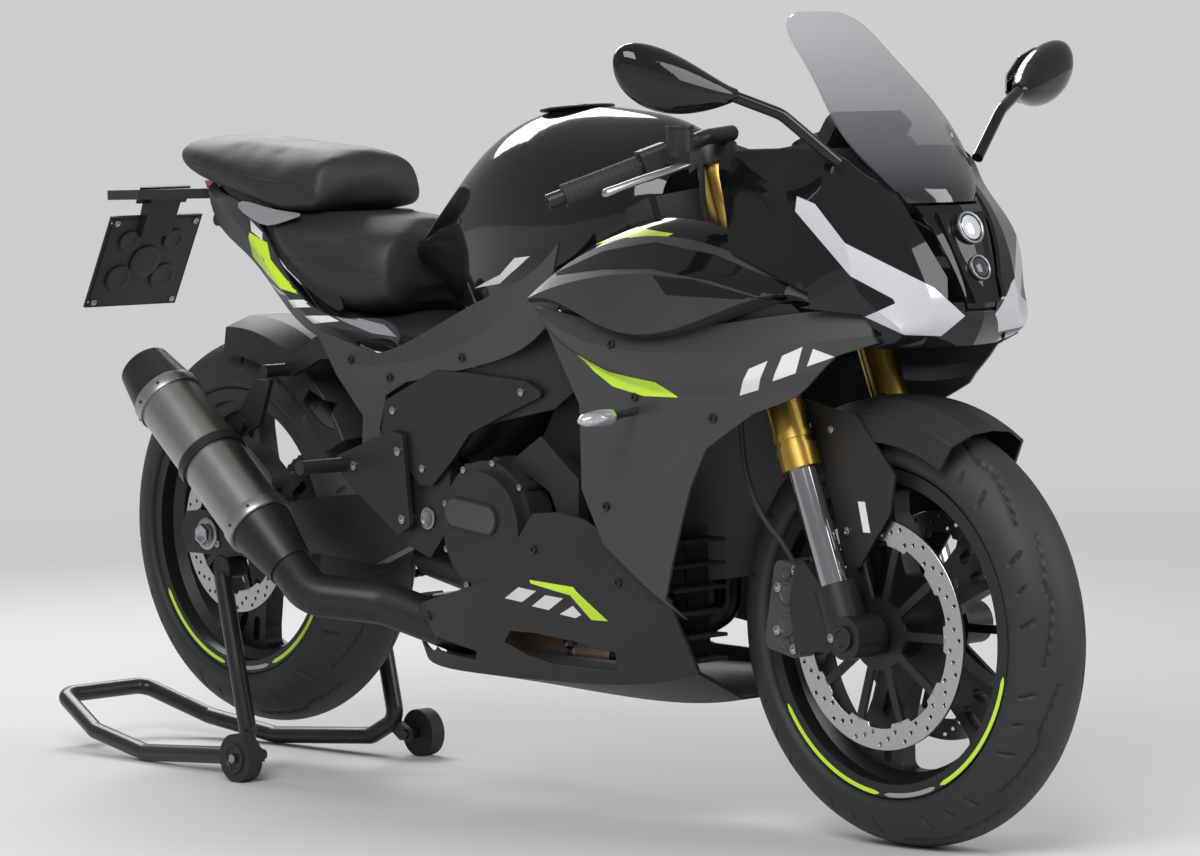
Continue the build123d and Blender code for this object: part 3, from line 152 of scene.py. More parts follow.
def grained(dark, light, rough):
    # embossed vinyl: small pebbles over a slow drift
    def recipe(place):
        pebbles = place.cells(520)
        drift = place.noise(11, 4)
        return {
            "Base Color": (drift * 0.7 + pebbles * 0.3).mix(dark, light),
            "Roughness": (drift - 0.5) * 0.15 + rough,
            "Normal": pebbles.bump(0.35, 0.0006),
        }

    return recipe


def tintWithPaintedHighlight(low, high):
    # tinted sheet, closer at its foot than at its lip, its colour dark at the foot and pale at the lip: the
    # pale towards the lip is a painted highlight
    def recipe(place):
        _, _, z = place.axes()
        rise = (z - low) / (high - low)
        drift = place.noise(40, 2)
        return {
            # dark at the foot, pale towards the lip: the pale is a painted highlight
            "Base Color": rise.mix((0.02, 0.02, 0.024), (0.30, 0.31, 0.33)),
            "Roughness": (drift - 0.5) * 0.04 + 0.05,
            "Alpha": 0.78 - rise * 0.42,
        }

    return recipe


frontAxle = (0.81, 0.30)
rearAxle = (-0.61, 0.38)
discTones = ((0.42, 0.42, 0.43), (0.66, 0.66, 0.67), 0.3)
# each finish: what varies over it, then what stays constant
recipes = {
    "tyreRubber": (speckled((0.012, 0.012, 0.013), (0.028, 0.028, 0.028), 0.62, 700, 0.25), {}),
    "satinBlack": (speckled((0.010, 0.010, 0.011), (0.020, 0.020, 0.022), 0.38), {"Metallic": 0.2}),
    "discSteelFront": (turned(*discTones, frontAxle), {"Metallic": 1.0}),
    "discSteelRear": (turned(*discTones, rearAxle), {"Metallic": 1.0}),
    "goldTube": (speckled((0.42, 0.26, 0.05), (0.62, 0.41, 0.10), 0.3, 600, 0.05), {"Metallic": 1.0}),
    "hardChrome": (speckled((0.38, 0.38, 0.40), (0.50, 0.50, 0.52), 0.1, 300, 0.02), {"Metallic": 1.0}),
    "gripRubber": (speckled((0.012, 0.012, 0.012), (0.025, 0.025, 0.025), 0.7, 1500, 0.4), {}),
    "castAlloy": (speckled((0.022, 0.022, 0.024), (0.05, 0.05, 0.053), 0.45, 900, 0.4), {"Metallic": 0.55}),
    "mattPlastic": (speckled((0.010, 0.010, 0.011), (0.019, 0.019, 0.021), 0.5, 1300, 0.3), {}),
    "glossBlack": (
        speckled((0.004, 0.004, 0.005), (0.008, 0.008, 0.010), 0.12, 160, 0.015, 0.001),
        {"Coat Weight": 0.8, "Coat Roughness": 0.03, "Specular IOR Level": 0.05}),
    "graphite": (
        speckled((0.050, 0.050, 0.054), (0.066, 0.066, 0.070), 0.4, 2500, 0.1, 0.0002),
        {"Metallic": 0.45, "Coat Weight": 0.15, "Coat Roughness": 0.3}),
    "seatVinyl": (grained((0.010, 0.010, 0.011), (0.022, 0.022, 0.024), 0.55), {}),
    "lampWhite": (
        speckled((0.50, 0.50, 0.52), (0.60, 0.60, 0.62), 0.22, 200, 0.05),
        {"Metallic": 0.15, "Coat Weight": 0.6}),
    "lampGlass": (
        speckled((0.45, 0.46, 0.48), (0.7, 0.71, 0.73), 0.08, 90, 0.3, 0.001),
        {"Metallic": 0.6, "Coat Weight": 1.0}),
    "lampRed": (speckled((0.25, 0.008, 0.008), (0.4, 0.015, 0.012), 0.15, 220, 0.2), {"Coat Weight": 1.0}),
    "limePaint": (
        speckled((0.52, 0.80, 0.015), (0.58, 0.86, 0.03), 0.35, 900, 0.03),
        {"Coat Weight": 0.5, "Coat Roughness": 0.15}),
    "whitePaint": (
        speckled((0.70, 0.70, 0.71), (0.78, 0.78, 0.78), 0.35, 900, 0.03),
        {"Coat Weight": 0.5, "Coat Roughness": 0.15}),
    "silverPaint": (speckled((0.38, 0.38, 0.40), (0.48, 0.48, 0.50), 0.35, 1500, 0.05), {"Metallic": 0.6}),
    "mirrorSilver": (speckled((0.85, 0.86, 0.87), (0.9, 0.9, 0.9), 0.03, 60, 0.0), {"Metallic": 1.0}),
    "titanium": (
        speckled((0.30, 0.29, 0.28), (0.46, 0.45, 0.44), 0.32, 500, 0.2, 0.0003, (1, 1, 14)),
        {"Metallic": 1.0}),
    "bareSteel": (speckled((0.3, 0.3, 0.31), (0.5, 0.5, 0.51), 0.35, 500, 0.1), {"Metallic": 1.0}),
    "chainSteel": (speckled((0.10, 0.09, 0.08), (0.22, 0.2, 0.18), 0.4, 700, 0.3), {"Metallic": 0.9}),
    "standBlack": (speckled((0.008, 0.008, 0.009), (0.016, 0.016, 0.018), 0.3, 500, 0.2, 0.0006), {}),
    # the screen's pale upper part is a painted highlight over its smoky tint
    "smokeGlassPaintedHighlight": (tintWithPaintedHighlight(0.90, 1.13), {"Coat Weight": 1.0, "Coat Roughness": 0.02}),
    # bronze raised well above the metal's own tone and given a diffuse part: painted light that brightens the
    # sleeve in its dark slot
    "bronzeWithPaintedLight": (
        speckled((0.55, 0.34, 0.22), (0.78, 0.58, 0.44), 0.42, 300, 0.15, 0.0004, None, 26),
        {"Metallic": 0.55}),
    "caliperGrey": (
        speckled((0.060, 0.060, 0.060), (0.105, 0.105, 0.103), 0.5, 700, 0.45), {"Metallic": 0.5}),
    "switchRed": (speckled((0.42, 0.01, 0.01), (0.55, 0.02, 0.02), 0.35, 900, 0.05), {}),
    "lensDark": (speckled((0.045, 0.045, 0.050), (0.10, 0.10, 0.11), 0.08, 60, 0.1), {"Metallic": 0.5}),
    "lensClear": (
        speckled((0.55, 0.58, 0.62), (0.80, 0.83, 0.86), 0.04, 60, 0.1, 0.001),
        {"Metallic": 0.35, "Coat Weight": 1.0, "Coat Roughness": 0.01}),
}
finishes = {name: newMaterial(name, *recipe) for name, recipe in recipes.items()}
nodeFinish = {
    "tyreRubber": ("front_tyre", "rear_tyre"),
    "satinBlack": (
        "front_rim", "rear_rim", "fork_feet", "triple_clamps", "handlebars", "subframe", "swingarm",
        "muffler_caps", "plate_holder", "fairing_stay", "side_stand", "exhaust_pipe", "passenger_pegs",
        "frame_covers"),
    "discSteelFront": ("front_discs",),
    "discSteelRear": ("rear_disc",),
    "bareSteel": ("rear_sprocket", "front_sprocket", "levers"),
    "goldTube": ("fork_outers",),
    "hardChrome": ("fork_sliders",),
    "gripRubber": ("grips", "brake_hose", "stand_wheel_left", "stand_wheel_right"),
    "caliperGrey": ("front_calipers", "rear_caliper"),
    "castAlloy": ("frame", "engine_block", "engine_covers", "radiator", "shock", "footrests"),
    "mattPlastic": ("controls", "front_fender", "belly_pan", "dash", "duct_louvres", "hugger"),
    "glossBlack": ("nose_cowl", "nose_mask", "mirrors", "fuel_tank", "headlamp"),
    "graphite": ("tail_cowl", "side_panels", "side_fairings", "fairing_pods"),
    "seatVinyl": ("rider_seat", "passenger_seat"),
    "lampWhite": ("running_lamps",),
    "lampGlass": ("indicators",),
    "lampRed": ("tail_lamp",),
    "mirrorSilver": ("mirror_glass",),
    "titanium": ("muffler",),
    "chainSteel": ("chain",),
    "standBlack": ("paddock_stand",),
    "smokeGlassPaintedHighlight": ("windscreen",),
}
for finish, members in nodeFinish.items():
    for member in members:
        nodes[member].data.materials.clear()
        nodes[member].data.materials.append(finishes[finish])
print("finishes made")


def freeSelection():
    if bpy.context.object and bpy.context.object.mode != "OBJECT":
        bpy.ops.object.mode_set(mode="OBJECT")
    bpy.ops.object.select_all(action="DESELECT")


def takeUp(*pieces):
    # selects these pieces alone, the last one active
    freeSelection()
    for piece in pieces:
        piece.select_set(True)
    bpy.context.view_layer.objects.active = pieces[-1]


def applyModifiers(piece):
    takeUp(piece)
    for modifier in list(piece.modifiers):
        bpy.ops.object.modifier_apply(modifier=modifier.name)


def addModifier(piece, kind, **settings):
    made = piece.modifiers.new(kind.title(), kind)
    for name, value in settings.items():
        setattr(made, name, value)
    return made


def settle(piece, name, finish, body="bike", angle=32):
    # applies what is left, smooths by angle, then finish and body
    applyModifiers(piece)
    if not piece.data.polygons:
        raise RuntimeError(name + " came out empty")
    bpy.ops.object.transform_apply(location=True, rotation=True, scale=True)
    bpy.ops.object.shade_smooth_by_angle(angle=math.radians(angle))
    piece.name = piece.data.name = name
    piece.data.materials.clear()
    piece.data.materials.append(finishes[finish])
    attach(piece, body)
    return piece


def added(operator, **shape):
    # a new piece from one of the operators that add a mesh
    freeSelection()
    operator(**shape)
    return bpy.context.object


def pickFaces(piece, test):
    # edit mode with the faces that pass the test and no others selected
    bpy.ops.object.mode_set(mode="EDIT")
    bpy.ops.mesh.select_mode(type="FACE")
    bpy.ops.mesh.select_all(action="DESELECT")
    mesh = bmesh.from_edit_mesh(piece.data)
    for face in mesh.faces:
        face.select = test(face)
    mesh.select_flush(True)
    bmesh.update_edit_mesh(piece.data)


def insetTwice(rim, step, dish):
    # leaves a rim, then a steep step down to a sunken face
    bpy.ops.mesh.inset(thickness=rim, depth=0)
    bpy.ops.mesh.inset(thickness=step, depth=-dish)


def copyOf(piece, change=None):
    made = piece.copy()
    made.data = piece.data.copy()
    made.parent = None
    bpy.context.scene.collection.objects.link(made)
    if change is not None:
        made.data.transform(change)
        if change.determinant() < 0:
            made.data.flip_normals()
    return made


def otherSide(piece):
    # the same shape across the middle of the bike
    return copyOf(piece, Matrix.Scale(-1, 4, (0, 1, 0)))


def joined(pieces):
    # one piece, its place in its mesh
    takeUp(*pieces)
    if len(pieces) > 1:
        bpy.ops.object.join()
    bpy.ops.object.transform_apply(location=True, rotation=True, scale=True)
    return bpy.context.object


def settlePair(piece, name, finish, body="bike", angle=32):
    # a right-hand piece and its left-hand copy, settled as one
    return settle(joined([otherSide(piece), piece]), name, finish, body, angle)


def editAll():
    # edit mode on the active piece, all of it selected
    bpy.ops.object.mode_set(mode="EDIT")
    bpy.ops.mesh.select_all(action="SELECT")


def leaveEdit():
    bpy.ops.object.mode_set(mode="OBJECT")


def turnTo(direction):
    # the turn that takes +z to a direction
    return Vector(direction).to_track_quat("Z", "Y").to_matrix().to_4x4()


def standOn(piece, spot, facing):
    # from the origin and +z to a spot and the direction it faces
    piece.data.transform(Matrix.Translation(spot) @ turnTo(facing))


def rounded(piece, levels):
    addModifier(piece, "SUBSURF", levels=levels, render_levels=levels)


def soften(piece, width, segments):
    # bevels the sharp edges
    addModifier(piece, "BEVEL", width=width, segments=segments, limit_method="ANGLE",
                angle_limit=math.radians(50))


def smoothLine(name, points, radius, sides):
    # round bar along a smooth line, its ends capped, still a curve
    line = bpy.data.curves.new(name, "CURVE")
    line.dimensions = "3D"
    spline = line.splines.new("NURBS")
    spline.points.add(len(points) - 1)
    for point, spot in zip(spline.points, points):
        point.co = (*spot, 1)
    spline.order_u = 3
    spline.use_endpoint_u = True
    line.bevel_depth, line.bevel_resolution, line.use_fill_caps = radius, sides, True
    made = bpy.data.objects.new(name, line)
    bpy.context.scene.collection.objects.link(made)
    return made


def nearestOn(node, start, heading):
    # first point and normal of a CAD node along a line
    hit, spot, normal, _ = nodes[node].ray_cast(Vector(start), Vector(heading).normalized())
    return (spot, normal) if hit else (None, None)


def arcThrough(start, middle, end, count):
    # points on the circle through three points, start and end included
    (ax, ay), (bx, by), (cx, cy) = start, middle, end
    turn = 2 * (ax * (by - cy) + bx * (cy - ay) + cx * (ay - by))
    sa, sb, sc = ax * ax + ay * ay, bx * bx + by * by, cx * cx + cy * cy
    ux = (sa * (by - cy) + sb * (cy - ay) + sc * (ay - by)) / turn
    uy = (sa * (cx - bx) + sb * (ax - cx) + sc * (bx - ax)) / turn
    radius = math.hypot(ax - ux, ay - uy)
    first = math.atan2(ay - uy, ax - ux)
    half = (math.atan2(by - uy, bx - ux) - first + math.pi) % (2 * math.pi) - math.pi
    sweep = (math.atan2(cy - uy, cx - ux) - first) % (2 * math.pi)
    if half < 0:
        sweep -= 2 * math.pi
    turns = [first + sweep * i / (count - 1) for i in range(count)]
    return [(ux + radius * math.cos(turn), uy + radius * math.sin(turn)) for turn in turns]


hose = {
    "diameter": 0.008,
    "length": 0.585,
    # from the upper clamp down outside the right leg to its caliper
    "route": [
        (0.561, -0.1385, 0.948), (0.567, -0.146, 0.900), (0.588, -0.150, 0.840), (0.608, -0.151, 0.760),
        (0.628, -0.146, 0.690), (0.620, -0.134, 0.610), (0.608, -0.120, 0.545), (0.613, -0.112, 0.492),
        (0.636, -0.106, 0.448), (0.664, -0.094, 0.416), (0.677, -0.086, 0.380),
    ],
}


def makeHose():
    made = smoothLine("brakeLine", hose["route"], hose["diameter"] / 2, 5)
    made.data.splines[0].resolution_u = 12
    made.data.materials.append(finishes["gripRubber"])
    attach(made, "steering")
    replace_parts(made, "brake_hose")


makeHose()
print("brake hose made")

treads = {
    "turns": 780,          # steps round the tyre
    "across": 56,          # points over the crown
    "grooveDepth": 0.0032,
    "grooveHalf": 0.0026,
    "grooveEdge": 0.0014,
    "bead": 0.216,
    "wall": 0.010,
    "beadInset": 0.014,
    "beadWidth": 0.010,
    "seatGap": 0.0005,
    "innerRise": 0.020,    # from the bead to where the inner wall begins
    "shoulder": (0.001, 0.008),
    "margin": 0.004,       # left plain above the crown's edge
    "onCrown": 0.0005,     # how near a point of the crown lies to it
    "fall": 0.68,          # how far the shoulder lies below the crown, in half widths
    "pitches": 9,
    # in pitches along the tyre and shares of half the crown
    "longCuts": [(0.02, 0.26), (0.36, 0.40), (0.46, 0.33), (0.90, 0.50)],
    "shortCuts": [[(0.10, 0.60), (0.15, 0.82)], [(0.58, 0.64), (0.63, 0.86)], [(0.34, 0.70), (0.37, 0.80)]],
}


def distanceTo(point, start, end):
    (px, py), (ax, ay), (bx, by) = point, start, end
    run = (bx - ax) ** 2 + (by - ay) ** 2
    share = max(0, min(1, ((px - ax) * (bx - ax) + (py - ay) * (by - ay)) / run))
    return math.hypot(px - ax - share * (bx - ax), py - ay - share * (by - ay))


def casingProfile(radius, half, edge):
    # a tyre's section as y and reach: crown, side, bead, inner wall and back
    bead, inset = treads["bead"], treads["beadInset"]
    seat = half - inset
    inner = seat - treads["beadWidth"]
    foot = bead + treads["seatGap"]
    rise = bead + treads["innerRise"]
    inward, down = treads["shoulder"]
    crown = arcThrough((-half, edge), (0, radius), (half, edge), treads["across"])
    side = arcThrough((half, edge), (half - inward, edge - down), (seat, bead + inset), 8)[1:]
    inside = arcThrough((inner, rise), (0, radius - treads["wall"]), (-inner, rise), 14)
    return (crown + side + [(seat, foot), (inner, foot)] + inside + [(-inner, foot), (-seat, foot)]
            + [(-y, r) for y, r in reversed(side)])


def grooveRuns(pitch, reach):
    # the cuts of one pitch and of its neighbours, as straight runs over the crown laid flat
    runs = []
    for cut in [treads["longCuts"]] + treads["shortCuts"]:
        for (ua, sa), (ub, sb) in zip(cut, cut[1:]):
            for shift in (-1, 0, 1):
                runs.append((((ua + shift) * pitch, sa * reach), ((ub + shift) * pitch, sb * reach)))
    return runs


def makeTyre(name, node, body):
    # turned casing with its grooves pressed in
    low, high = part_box(node)
    radius, half = (high.z - low.z) / 2, (high.y - low.y) / 2
    edge = radius - treads["fall"] * half - treads["beadInset"]
    profile = casingProfile(radius, half, edge)
    tyre = added(bpy.ops.mesh.primitive_circle_add, vertices=len(profile), location=(low + high) / 2)
    for vertex, (y, r) in zip(tyre.data.vertices, profile):
        vertex.co = (0, y, r)
    addModifier(tyre, "SCREW", axis="Y", steps=treads["turns"], render_steps=treads["turns"],
                use_merge_vertices=True, merge_threshold=0.00001)
    applyModifiers(tyre)
    editAll()
    bpy.ops.mesh.normals_make_consistent(inside=False)
    leaveEdit()
    bend = (half ** 2 + (radius - edge) ** 2) / (2 * (radius - edge))
    lean = math.asin(min(1, half / bend))
    reach = bend * (lean if edge > radius - bend else math.pi - lean)
    pitches = treads["pitches"]
    pitch = 2 * math.pi * radius / pitches
    runs = grooveRuns(pitch, reach)
    grooves = tyre.vertex_groups.new(name="grooves")
    for vertex in tyre.data.vertices:
        x, y, z = vertex.co
        r = math.hypot(x, z)
        off = abs(math.hypot(y, r - radius + bend) - bend)
        if r < edge + treads["margin"] or off > treads["onCrown"]:
            continue
        over = bend * math.atan2(abs(y), r - radius + bend)
        along = (math.atan2(x, z) / (2 * math.pi) * pitches + (0.5 if y < 0 else 0)) % 1 * pitch
        near = min(distanceTo((along, over), *run) for run in runs)
        depth = max(0, min(1, (treads["grooveHalf"] - near) / treads["grooveEdge"] + 0.5))
        if depth > 0:
            grooves.add([vertex.index], depth, "REPLACE")
    addModifier(tyre, "DISPLACE", strength=-treads["grooveDepth"], mid_level=0, vertex_group="grooves")
    settle(tyre, name, "tyreRubber", body, 40)
    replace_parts(tyre, node)


makeTyre("frontTread", "front_tyre", "front_wheel")
makeTyre("rearTread", "rear_tyre", "rear_wheel")
print("tyres made")


def flatPanel(outline, place, thickness):
    # closed flat plate: outline in its own plane, its face at the place's +z
    panel = added(bpy.ops.mesh.primitive_circle_add, vertices=len(outline), fill_type="NGON")
    for vertex, (u, v) in zip(panel.data.vertices, outline):
        vertex.co = (u, v, 0)
    if panel.data.polygons[0].normal.z < 0:
        panel.data.flip_normals()
    addModifier(panel, "SOLIDIFY", thickness=thickness, offset=-1)
    applyModifiers(panel)
    panel.data.transform(place)
    if place.determinant() < 0:
        panel.data.flip_normals()
    return panel


def wheelSide(axle, y):
    # plane of a wheel's side: u forward, v up, looking out to that side
    side = -1 if y < 0 else 1
    turn = Matrix(((1, 0, 0), (0, 0, side), (0, 1, 0))).to_4x4()
    return Matrix.Translation((axle[0], y, axle[1])) @ turn


discs = {
    "holeRadius": 0.0030,
    "holes": 60,
    "scallop": 0.006,
    "scallopShare": 0.24,  # of the way between two arms that keeps the inner radius
    "thickness": 0.005,
    "cutDepth": 0.03,
    "pinRadius": 0.0075,
    "pinDepth": 0.010,
    "pinInset": 0.002,
    "pinRim": 0.0026,
    "pinStep": 0.0004,
    "pinDish": 0.0022,
    "edge": 0.0004,
    # rows: how far each ring of holes lies inside the edge
    "ends": {
        "front": {"axle": frontAxle, "node": "front_discs", "y": (-0.064, 0.064), "inner": 0.124, "arms": 10,
                  "rows": (0.008, 0.016, 0.024)},
        "rear": {"axle": rearAxle, "node": "rear_disc", "y": (-0.078,), "inner": 0.096, "arms": 5,
                 "rows": (0.007, 0.014, 0.021)},
    },
}


def ringSpots(radius, count):
    # points at equal steps round a circle about the origin
    turns = [2 * math.pi * i / count for i in range(count)]
    return [(radius * math.cos(turn), radius * math.sin(turn)) for turn in turns]


def makeDisc(outer, inner, arms, rows):
    # drilled ring lying flat at the origin, its inner edge scalloped between the arms
    cylinder = bpy.ops.mesh.primitive_cylinder_add
    ring = added(cylinder, vertices=220, radius=outer, depth=discs["thickness"])
    core = added(cylinder, vertices=24 * arms, radius=inner, depth=discs["cutDepth"])
    wide = (inner + discs["scallop"]) / inner
    for vertex in core.data.vertices:
        x, y, _ = vertex.co
        share = (math.atan2(y, x) / (2 * math.pi) * arms + 0.5) % 1 - 0.5
        if abs(share) > discs["scallopShare"]:
            vertex.co.x, vertex.co.y = x * wide, y * wide
    cutters = [core]
    for i, (x, y) in enumerate(ringSpots(1, discs["holes"])):
        reach = outer - rows[i % len(rows)]
        cutters.append(added(
            cylinder, vertices=12, radius=discs["holeRadius"], depth=discs["cutDepth"],
            location=(reach * x, reach * y, 0)))
    cutter = joined(cutters)
    addModifier(ring, "BOOLEAN", object=cutter, operation="DIFFERENCE", solver="EXACT")
    applyModifiers(ring)
    bpy.data.objects.remove(cutter)
    soften(ring, discs["edge"], 1)
    applyModifiers(ring)
    return ring


def makePins(inner, arms):
    # float pins: turned bobbins with a dished middle, one at each arm
    pins = []
    for x, y in ringSpots(inner - discs["pinInset"], arms):
        pin = added(bpy.ops.mesh.primitive_cylinder_add, vertices=20, radius=discs["pinRadius"],
                    depth=discs["pinDepth"], location=(x, y, 0))
        pickFaces(pin, lambda face: abs(face.normal.z) > 0.9)
        insetTwice(discs["pinRim"], discs["pinStep"], discs["pinDish"])
        leaveEdit()
        pins.append(pin)
    return joined(pins)


def makeDiscs(end, shape):
    low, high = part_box(shape["node"])
    flat = makeDisc((high.z - low.z) / 2, shape["inner"], shape["arms"], shape["rows"])
    flatPins = makePins(shape["inner"], shape["arms"])
    places = [wheelSide(shape["axle"], y) for y in shape["y"]]
    rings = [copyOf(flat, place) for place in places]
    bobbins = [copyOf(flatPins, place) for place in places]
    bpy.data.objects.remove(flat)
    bpy.data.objects.remove(flatPins)
    ring = settle(joined(rings), end + "DrilledDisc", "discSteel" + end.title(), end + "_wheel")
    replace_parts(ring, shape["node"])
    settle(joined(bobbins), end + "FloatPins", "bareSteel", end + "_wheel")


for end, shape in discs["ends"].items():
    makeDiscs(end, shape)
print("discs made")

rimBands = {
    "half": 0.0030,
    "thickness": 0.0006,
    "tipShare": 0.3,       # of the width left at a band's ends
    # axle, how far out the rim's lip lies
    "front": (frontAxle, 0.052),
    "rear": (rearAxle, 0.072),
    # wheel, finish, radius, from and to in degrees about the axle
    "rows": [
        ("front", "limePaint", 0.2235, -150, -95), ("front", "silverPaint", 0.2235, -92, -67),
        ("front", "limePaint", 0.2235, -64, -12),
        ("rear", "limePaint", 0.2205, -152, -103), ("rear", "silverPaint", 0.2205, -90, -73),
        ("rear", "limePaint", 0.2205, -70, -26),
    ],
}


def arcBand(radius, half, start, end):
    steps = max(6, int((end - start) / 2))
    outline = []
    for offset, order in ((half, 1), (-half, -1)):
        for i in range(steps + 1)[::order]:
            angle = math.radians(start + (end - start) * i / steps)
            reach = radius + offset * (1 if 0 < i < steps else rimBands["tipShare"])
            outline.append((reach * math.cos(angle), reach * math.sin(angle)))
    return outline


def makeRimBand(number, end, finish, radius, start, stop):
    axle, lip = rimBands[end]
    outline = arcBand(radius, rimBands["half"], start, stop)
    thickness = rimBands["thickness"]
    pair = [flatPanel(outline, wheelSide(axle, side * (lip + thickness)), thickness) for side in (-1, 1)]
    settle(joined(pair), f"{end}RimBand{number}", finish, end + "_wheel")


for number, row in enumerate(rimBands["rows"]):
    makeRimBand(number, *row)
print("rim bands made")

seatPads = {
    # cap: how far a point may move; settling: rounds of smoothing after it
    "rider_seat": {
        "name": "riderPad", "voxel": 0.005, "shrink": 0.004, "cap": 0.008, "pressure": 3, "settling": 14},
    "passenger_seat": {
        "name": "passengerPad", "voxel": 0.006, "shrink": 0.002, "cap": 0.006, "pressure": 2, "settling": 24},
}


def inflate(pad, shape):
    # swells the pad as filled fabric would, no point moving past the cap
    cloth = addModifier(pad, "CLOTH")
    cloth.settings.use_pressure = True
    cloth.settings.uniform_pressure_force = shape["pressure"]
    cloth.settings.effector_weights.gravity = 0
    start = [vertex.co.copy() for vertex in pad.data.vertices]
    for step in range(1, 21):
        bpy.context.scene.frame_set(step)
    swollen = pad.evaluated_get(bpy.context.evaluated_depsgraph_get()).to_mesh()
    moved = [vertex.co.copy() for vertex in swollen.vertices]
    pad.modifiers.remove(cloth)
    bpy.context.scene.frame_set(1)
    for vertex, old, new in zip(pad.data.vertices, start, moved):
        step = new - old
        if step.length > shape["cap"]:
            step *= shape["cap"] / step.length
        vertex.co = old + step


def makePad(node, shape):
    pad = copyOf(nodes[node])
    takeUp(pad)
    editAll()
    bpy.ops.mesh.remove_doubles(threshold=0.0001)
    bpy.ops.transform.shrink_fatten(value=-shape["shrink"])
    leaveEdit()
    addModifier(pad, "REMESH", mode="VOXEL", voxel_size=shape["voxel"])
    addModifier(pad, "SMOOTH", factor=0.5, iterations=6)
    applyModifiers(pad)
    inflate(pad, shape)
    # the stretched cover lies smooth over its foam
    addModifier(pad, "SMOOTH", factor=0.5, iterations=shape["settling"])
    rounded(pad, 1)
    settle(pad, shape["name"], "seatVinyl", angle=80)
    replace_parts(pad, node)


for node, shape in seatPads.items():
    makePad(node, shape)
print("seats made")


def barThrough(stations, axis, corners):
    # closed bar grown by extruding its end face: x, y, z, half width and half height at each station
    turn = {"X": (0, math.pi / 2, 0), "Y": (math.pi / 2, 0, 0)}[axis]
    spread = {"X": lambda w, h: (1, w, h), "Y": lambda w, h: (w, 1, h)}[axis]
    x, y, z, wide, high = stations[0]
    bar = added(bpy.ops.mesh.primitive_circle_add, vertices=corners, radius=1, fill_type="NGON",
                location=(x, y, z), rotation=turn)
    bpy.ops.object.transform_apply(location=True, rotation=True, scale=True)
    editAll()
    bpy.ops.transform.resize(value=spread(wide, high), center_override=(x, y, z))
    for nx, ny, nz, nextWide, nextHigh in stations[1:]:
        bpy.ops.mesh.extrude_region_move(TRANSFORM_OT_translate={"value": (nx - x, ny - y, nz - z)})
        bpy.ops.transform.resize(
            value=spread(nextWide / wide, nextHigh / high), center_override=(nx, ny, nz))
        x, y, z, wide, high = nx, ny, nz, nextWide, nextHigh
    bpy.ops.mesh.select_all(action="SELECT")
    bpy.ops.mesh.normals_make_consistent(inside=False)
    leaveEdit()
    return bar


def middleBar(stations, corners, name, finish):
    # bar along the bike's middle: x, z, half width and half height at each station
    bar = barThrough([(x, 0, z, wide, high) for x, z, wide, high in stations], "X", corners)
    settle(bar, name, finish, angle=50)


def tubeThrough(points, radius, sides=4):
    # round bar along a smooth line, as a mesh
    takeUp(smoothLine("line", points, radius, sides))
    bpy.ops.object.convert(target="MESH")
    return bpy.context.object


def sheetThrough(stations, thickness, finish, name, smooth=1):
    # panel on both sides with a wall inwards: x, then y and z of the points at each station
    rows = [[(x, y, z) for y, z in spots] for x, *spots in stations]
    panel = added(bpy.ops.mesh.primitive_grid_add, x_subdivisions=len(rows[0]) - 1,
                  y_subdivisions=len(rows) - 1, size=1)
    for vertex, spot in zip(panel.data.vertices, [spot for row in rows for spot in row]):
        vertex.co = spot
    outward = sum((face.normal.y + 0.3 * face.normal.z) * face.area for face in panel.data.polygons)
    if outward < 0:
        panel.data.flip_normals()
    rounded(panel, smooth)
    addModifier(panel, "SOLIDIFY", thickness=thickness, offset=-1)
    applyModifiers(panel)
    return settlePair(panel, name, finish)


drums = {
    # of the radius
    "bevel": 0.08,
    "step": 0.04,
}


def drumAt(spot, facing, radius, depth, corners, inset=0.0, dish=0.0):
    # turned disc standing on a spot, its outer face bevelled and dished
    made = added(bpy.ops.mesh.primitive_cylinder_add, vertices=corners, radius=radius, depth=depth,
                 location=(0, 0, depth / 2))
    bpy.ops.object.transform_apply(location=True, rotation=True, scale=True)
    if inset:
        pickFaces(made, lambda face: face.normal.z > 0.9)
        insetTwice(inset, radius * drums["step"], dish)
        leaveEdit()
    soften(made, radius * drums["bevel"], 2)
    applyModifiers(made)
    standOn(made, spot, facing)
    return made


pods = {
    "crownThickness": 0.003,
    "slitThickness": 0.002,
    # x, then y and z of the crown's outer, middle and inner edges
    "crown": [
        (0.330, (0.219, 0.786), (0.205, 0.802), (0.186, 0.812)),
        (0.400, (0.204, 0.831), (0.184, 0.850), (0.158, 0.860)),
        (0.470, (0.200, 0.842), (0.184, 0.862), (0.163, 0.872)),
        (0.540, (0.199, 0.849), (0.186, 0.867), (0.168, 0.877)),
        (0.660, (0.191, 0.829), (0.184, 0.850), (0.170, 0.862)),
        (0.740, (0.183, 0.797), (0.179, 0.808), (0.172, 0.815)),
        (0.800, (0.177, 0.772), (0.175, 0.776), (0.172, 0.779)),
    ],
    # x, then y and z of the dark strip behind the slit under the pod
    "slit": [
        (0.330, (0.216, 0.764), (0.206, 0.735)),
        (0.440, (0.208, 0.752), (0.202, 0.700)),
        (0.560, (0.202, 0.745), (0.200, 0.690)),
        (0.680, (0.184, 0.755), (0.182, 0.705)),
        (0.780, (0.168, 0.762), (0.166, 0.730)),
    ],
}


sheetThrough(pods["crown"], pods["crownThickness"], "glossBlack", "podCrown", smooth=2)
sheetThrough(pods["slit"], pods["slitThickness"], "mattPlastic", "podSlit")
print("pod crowns made")

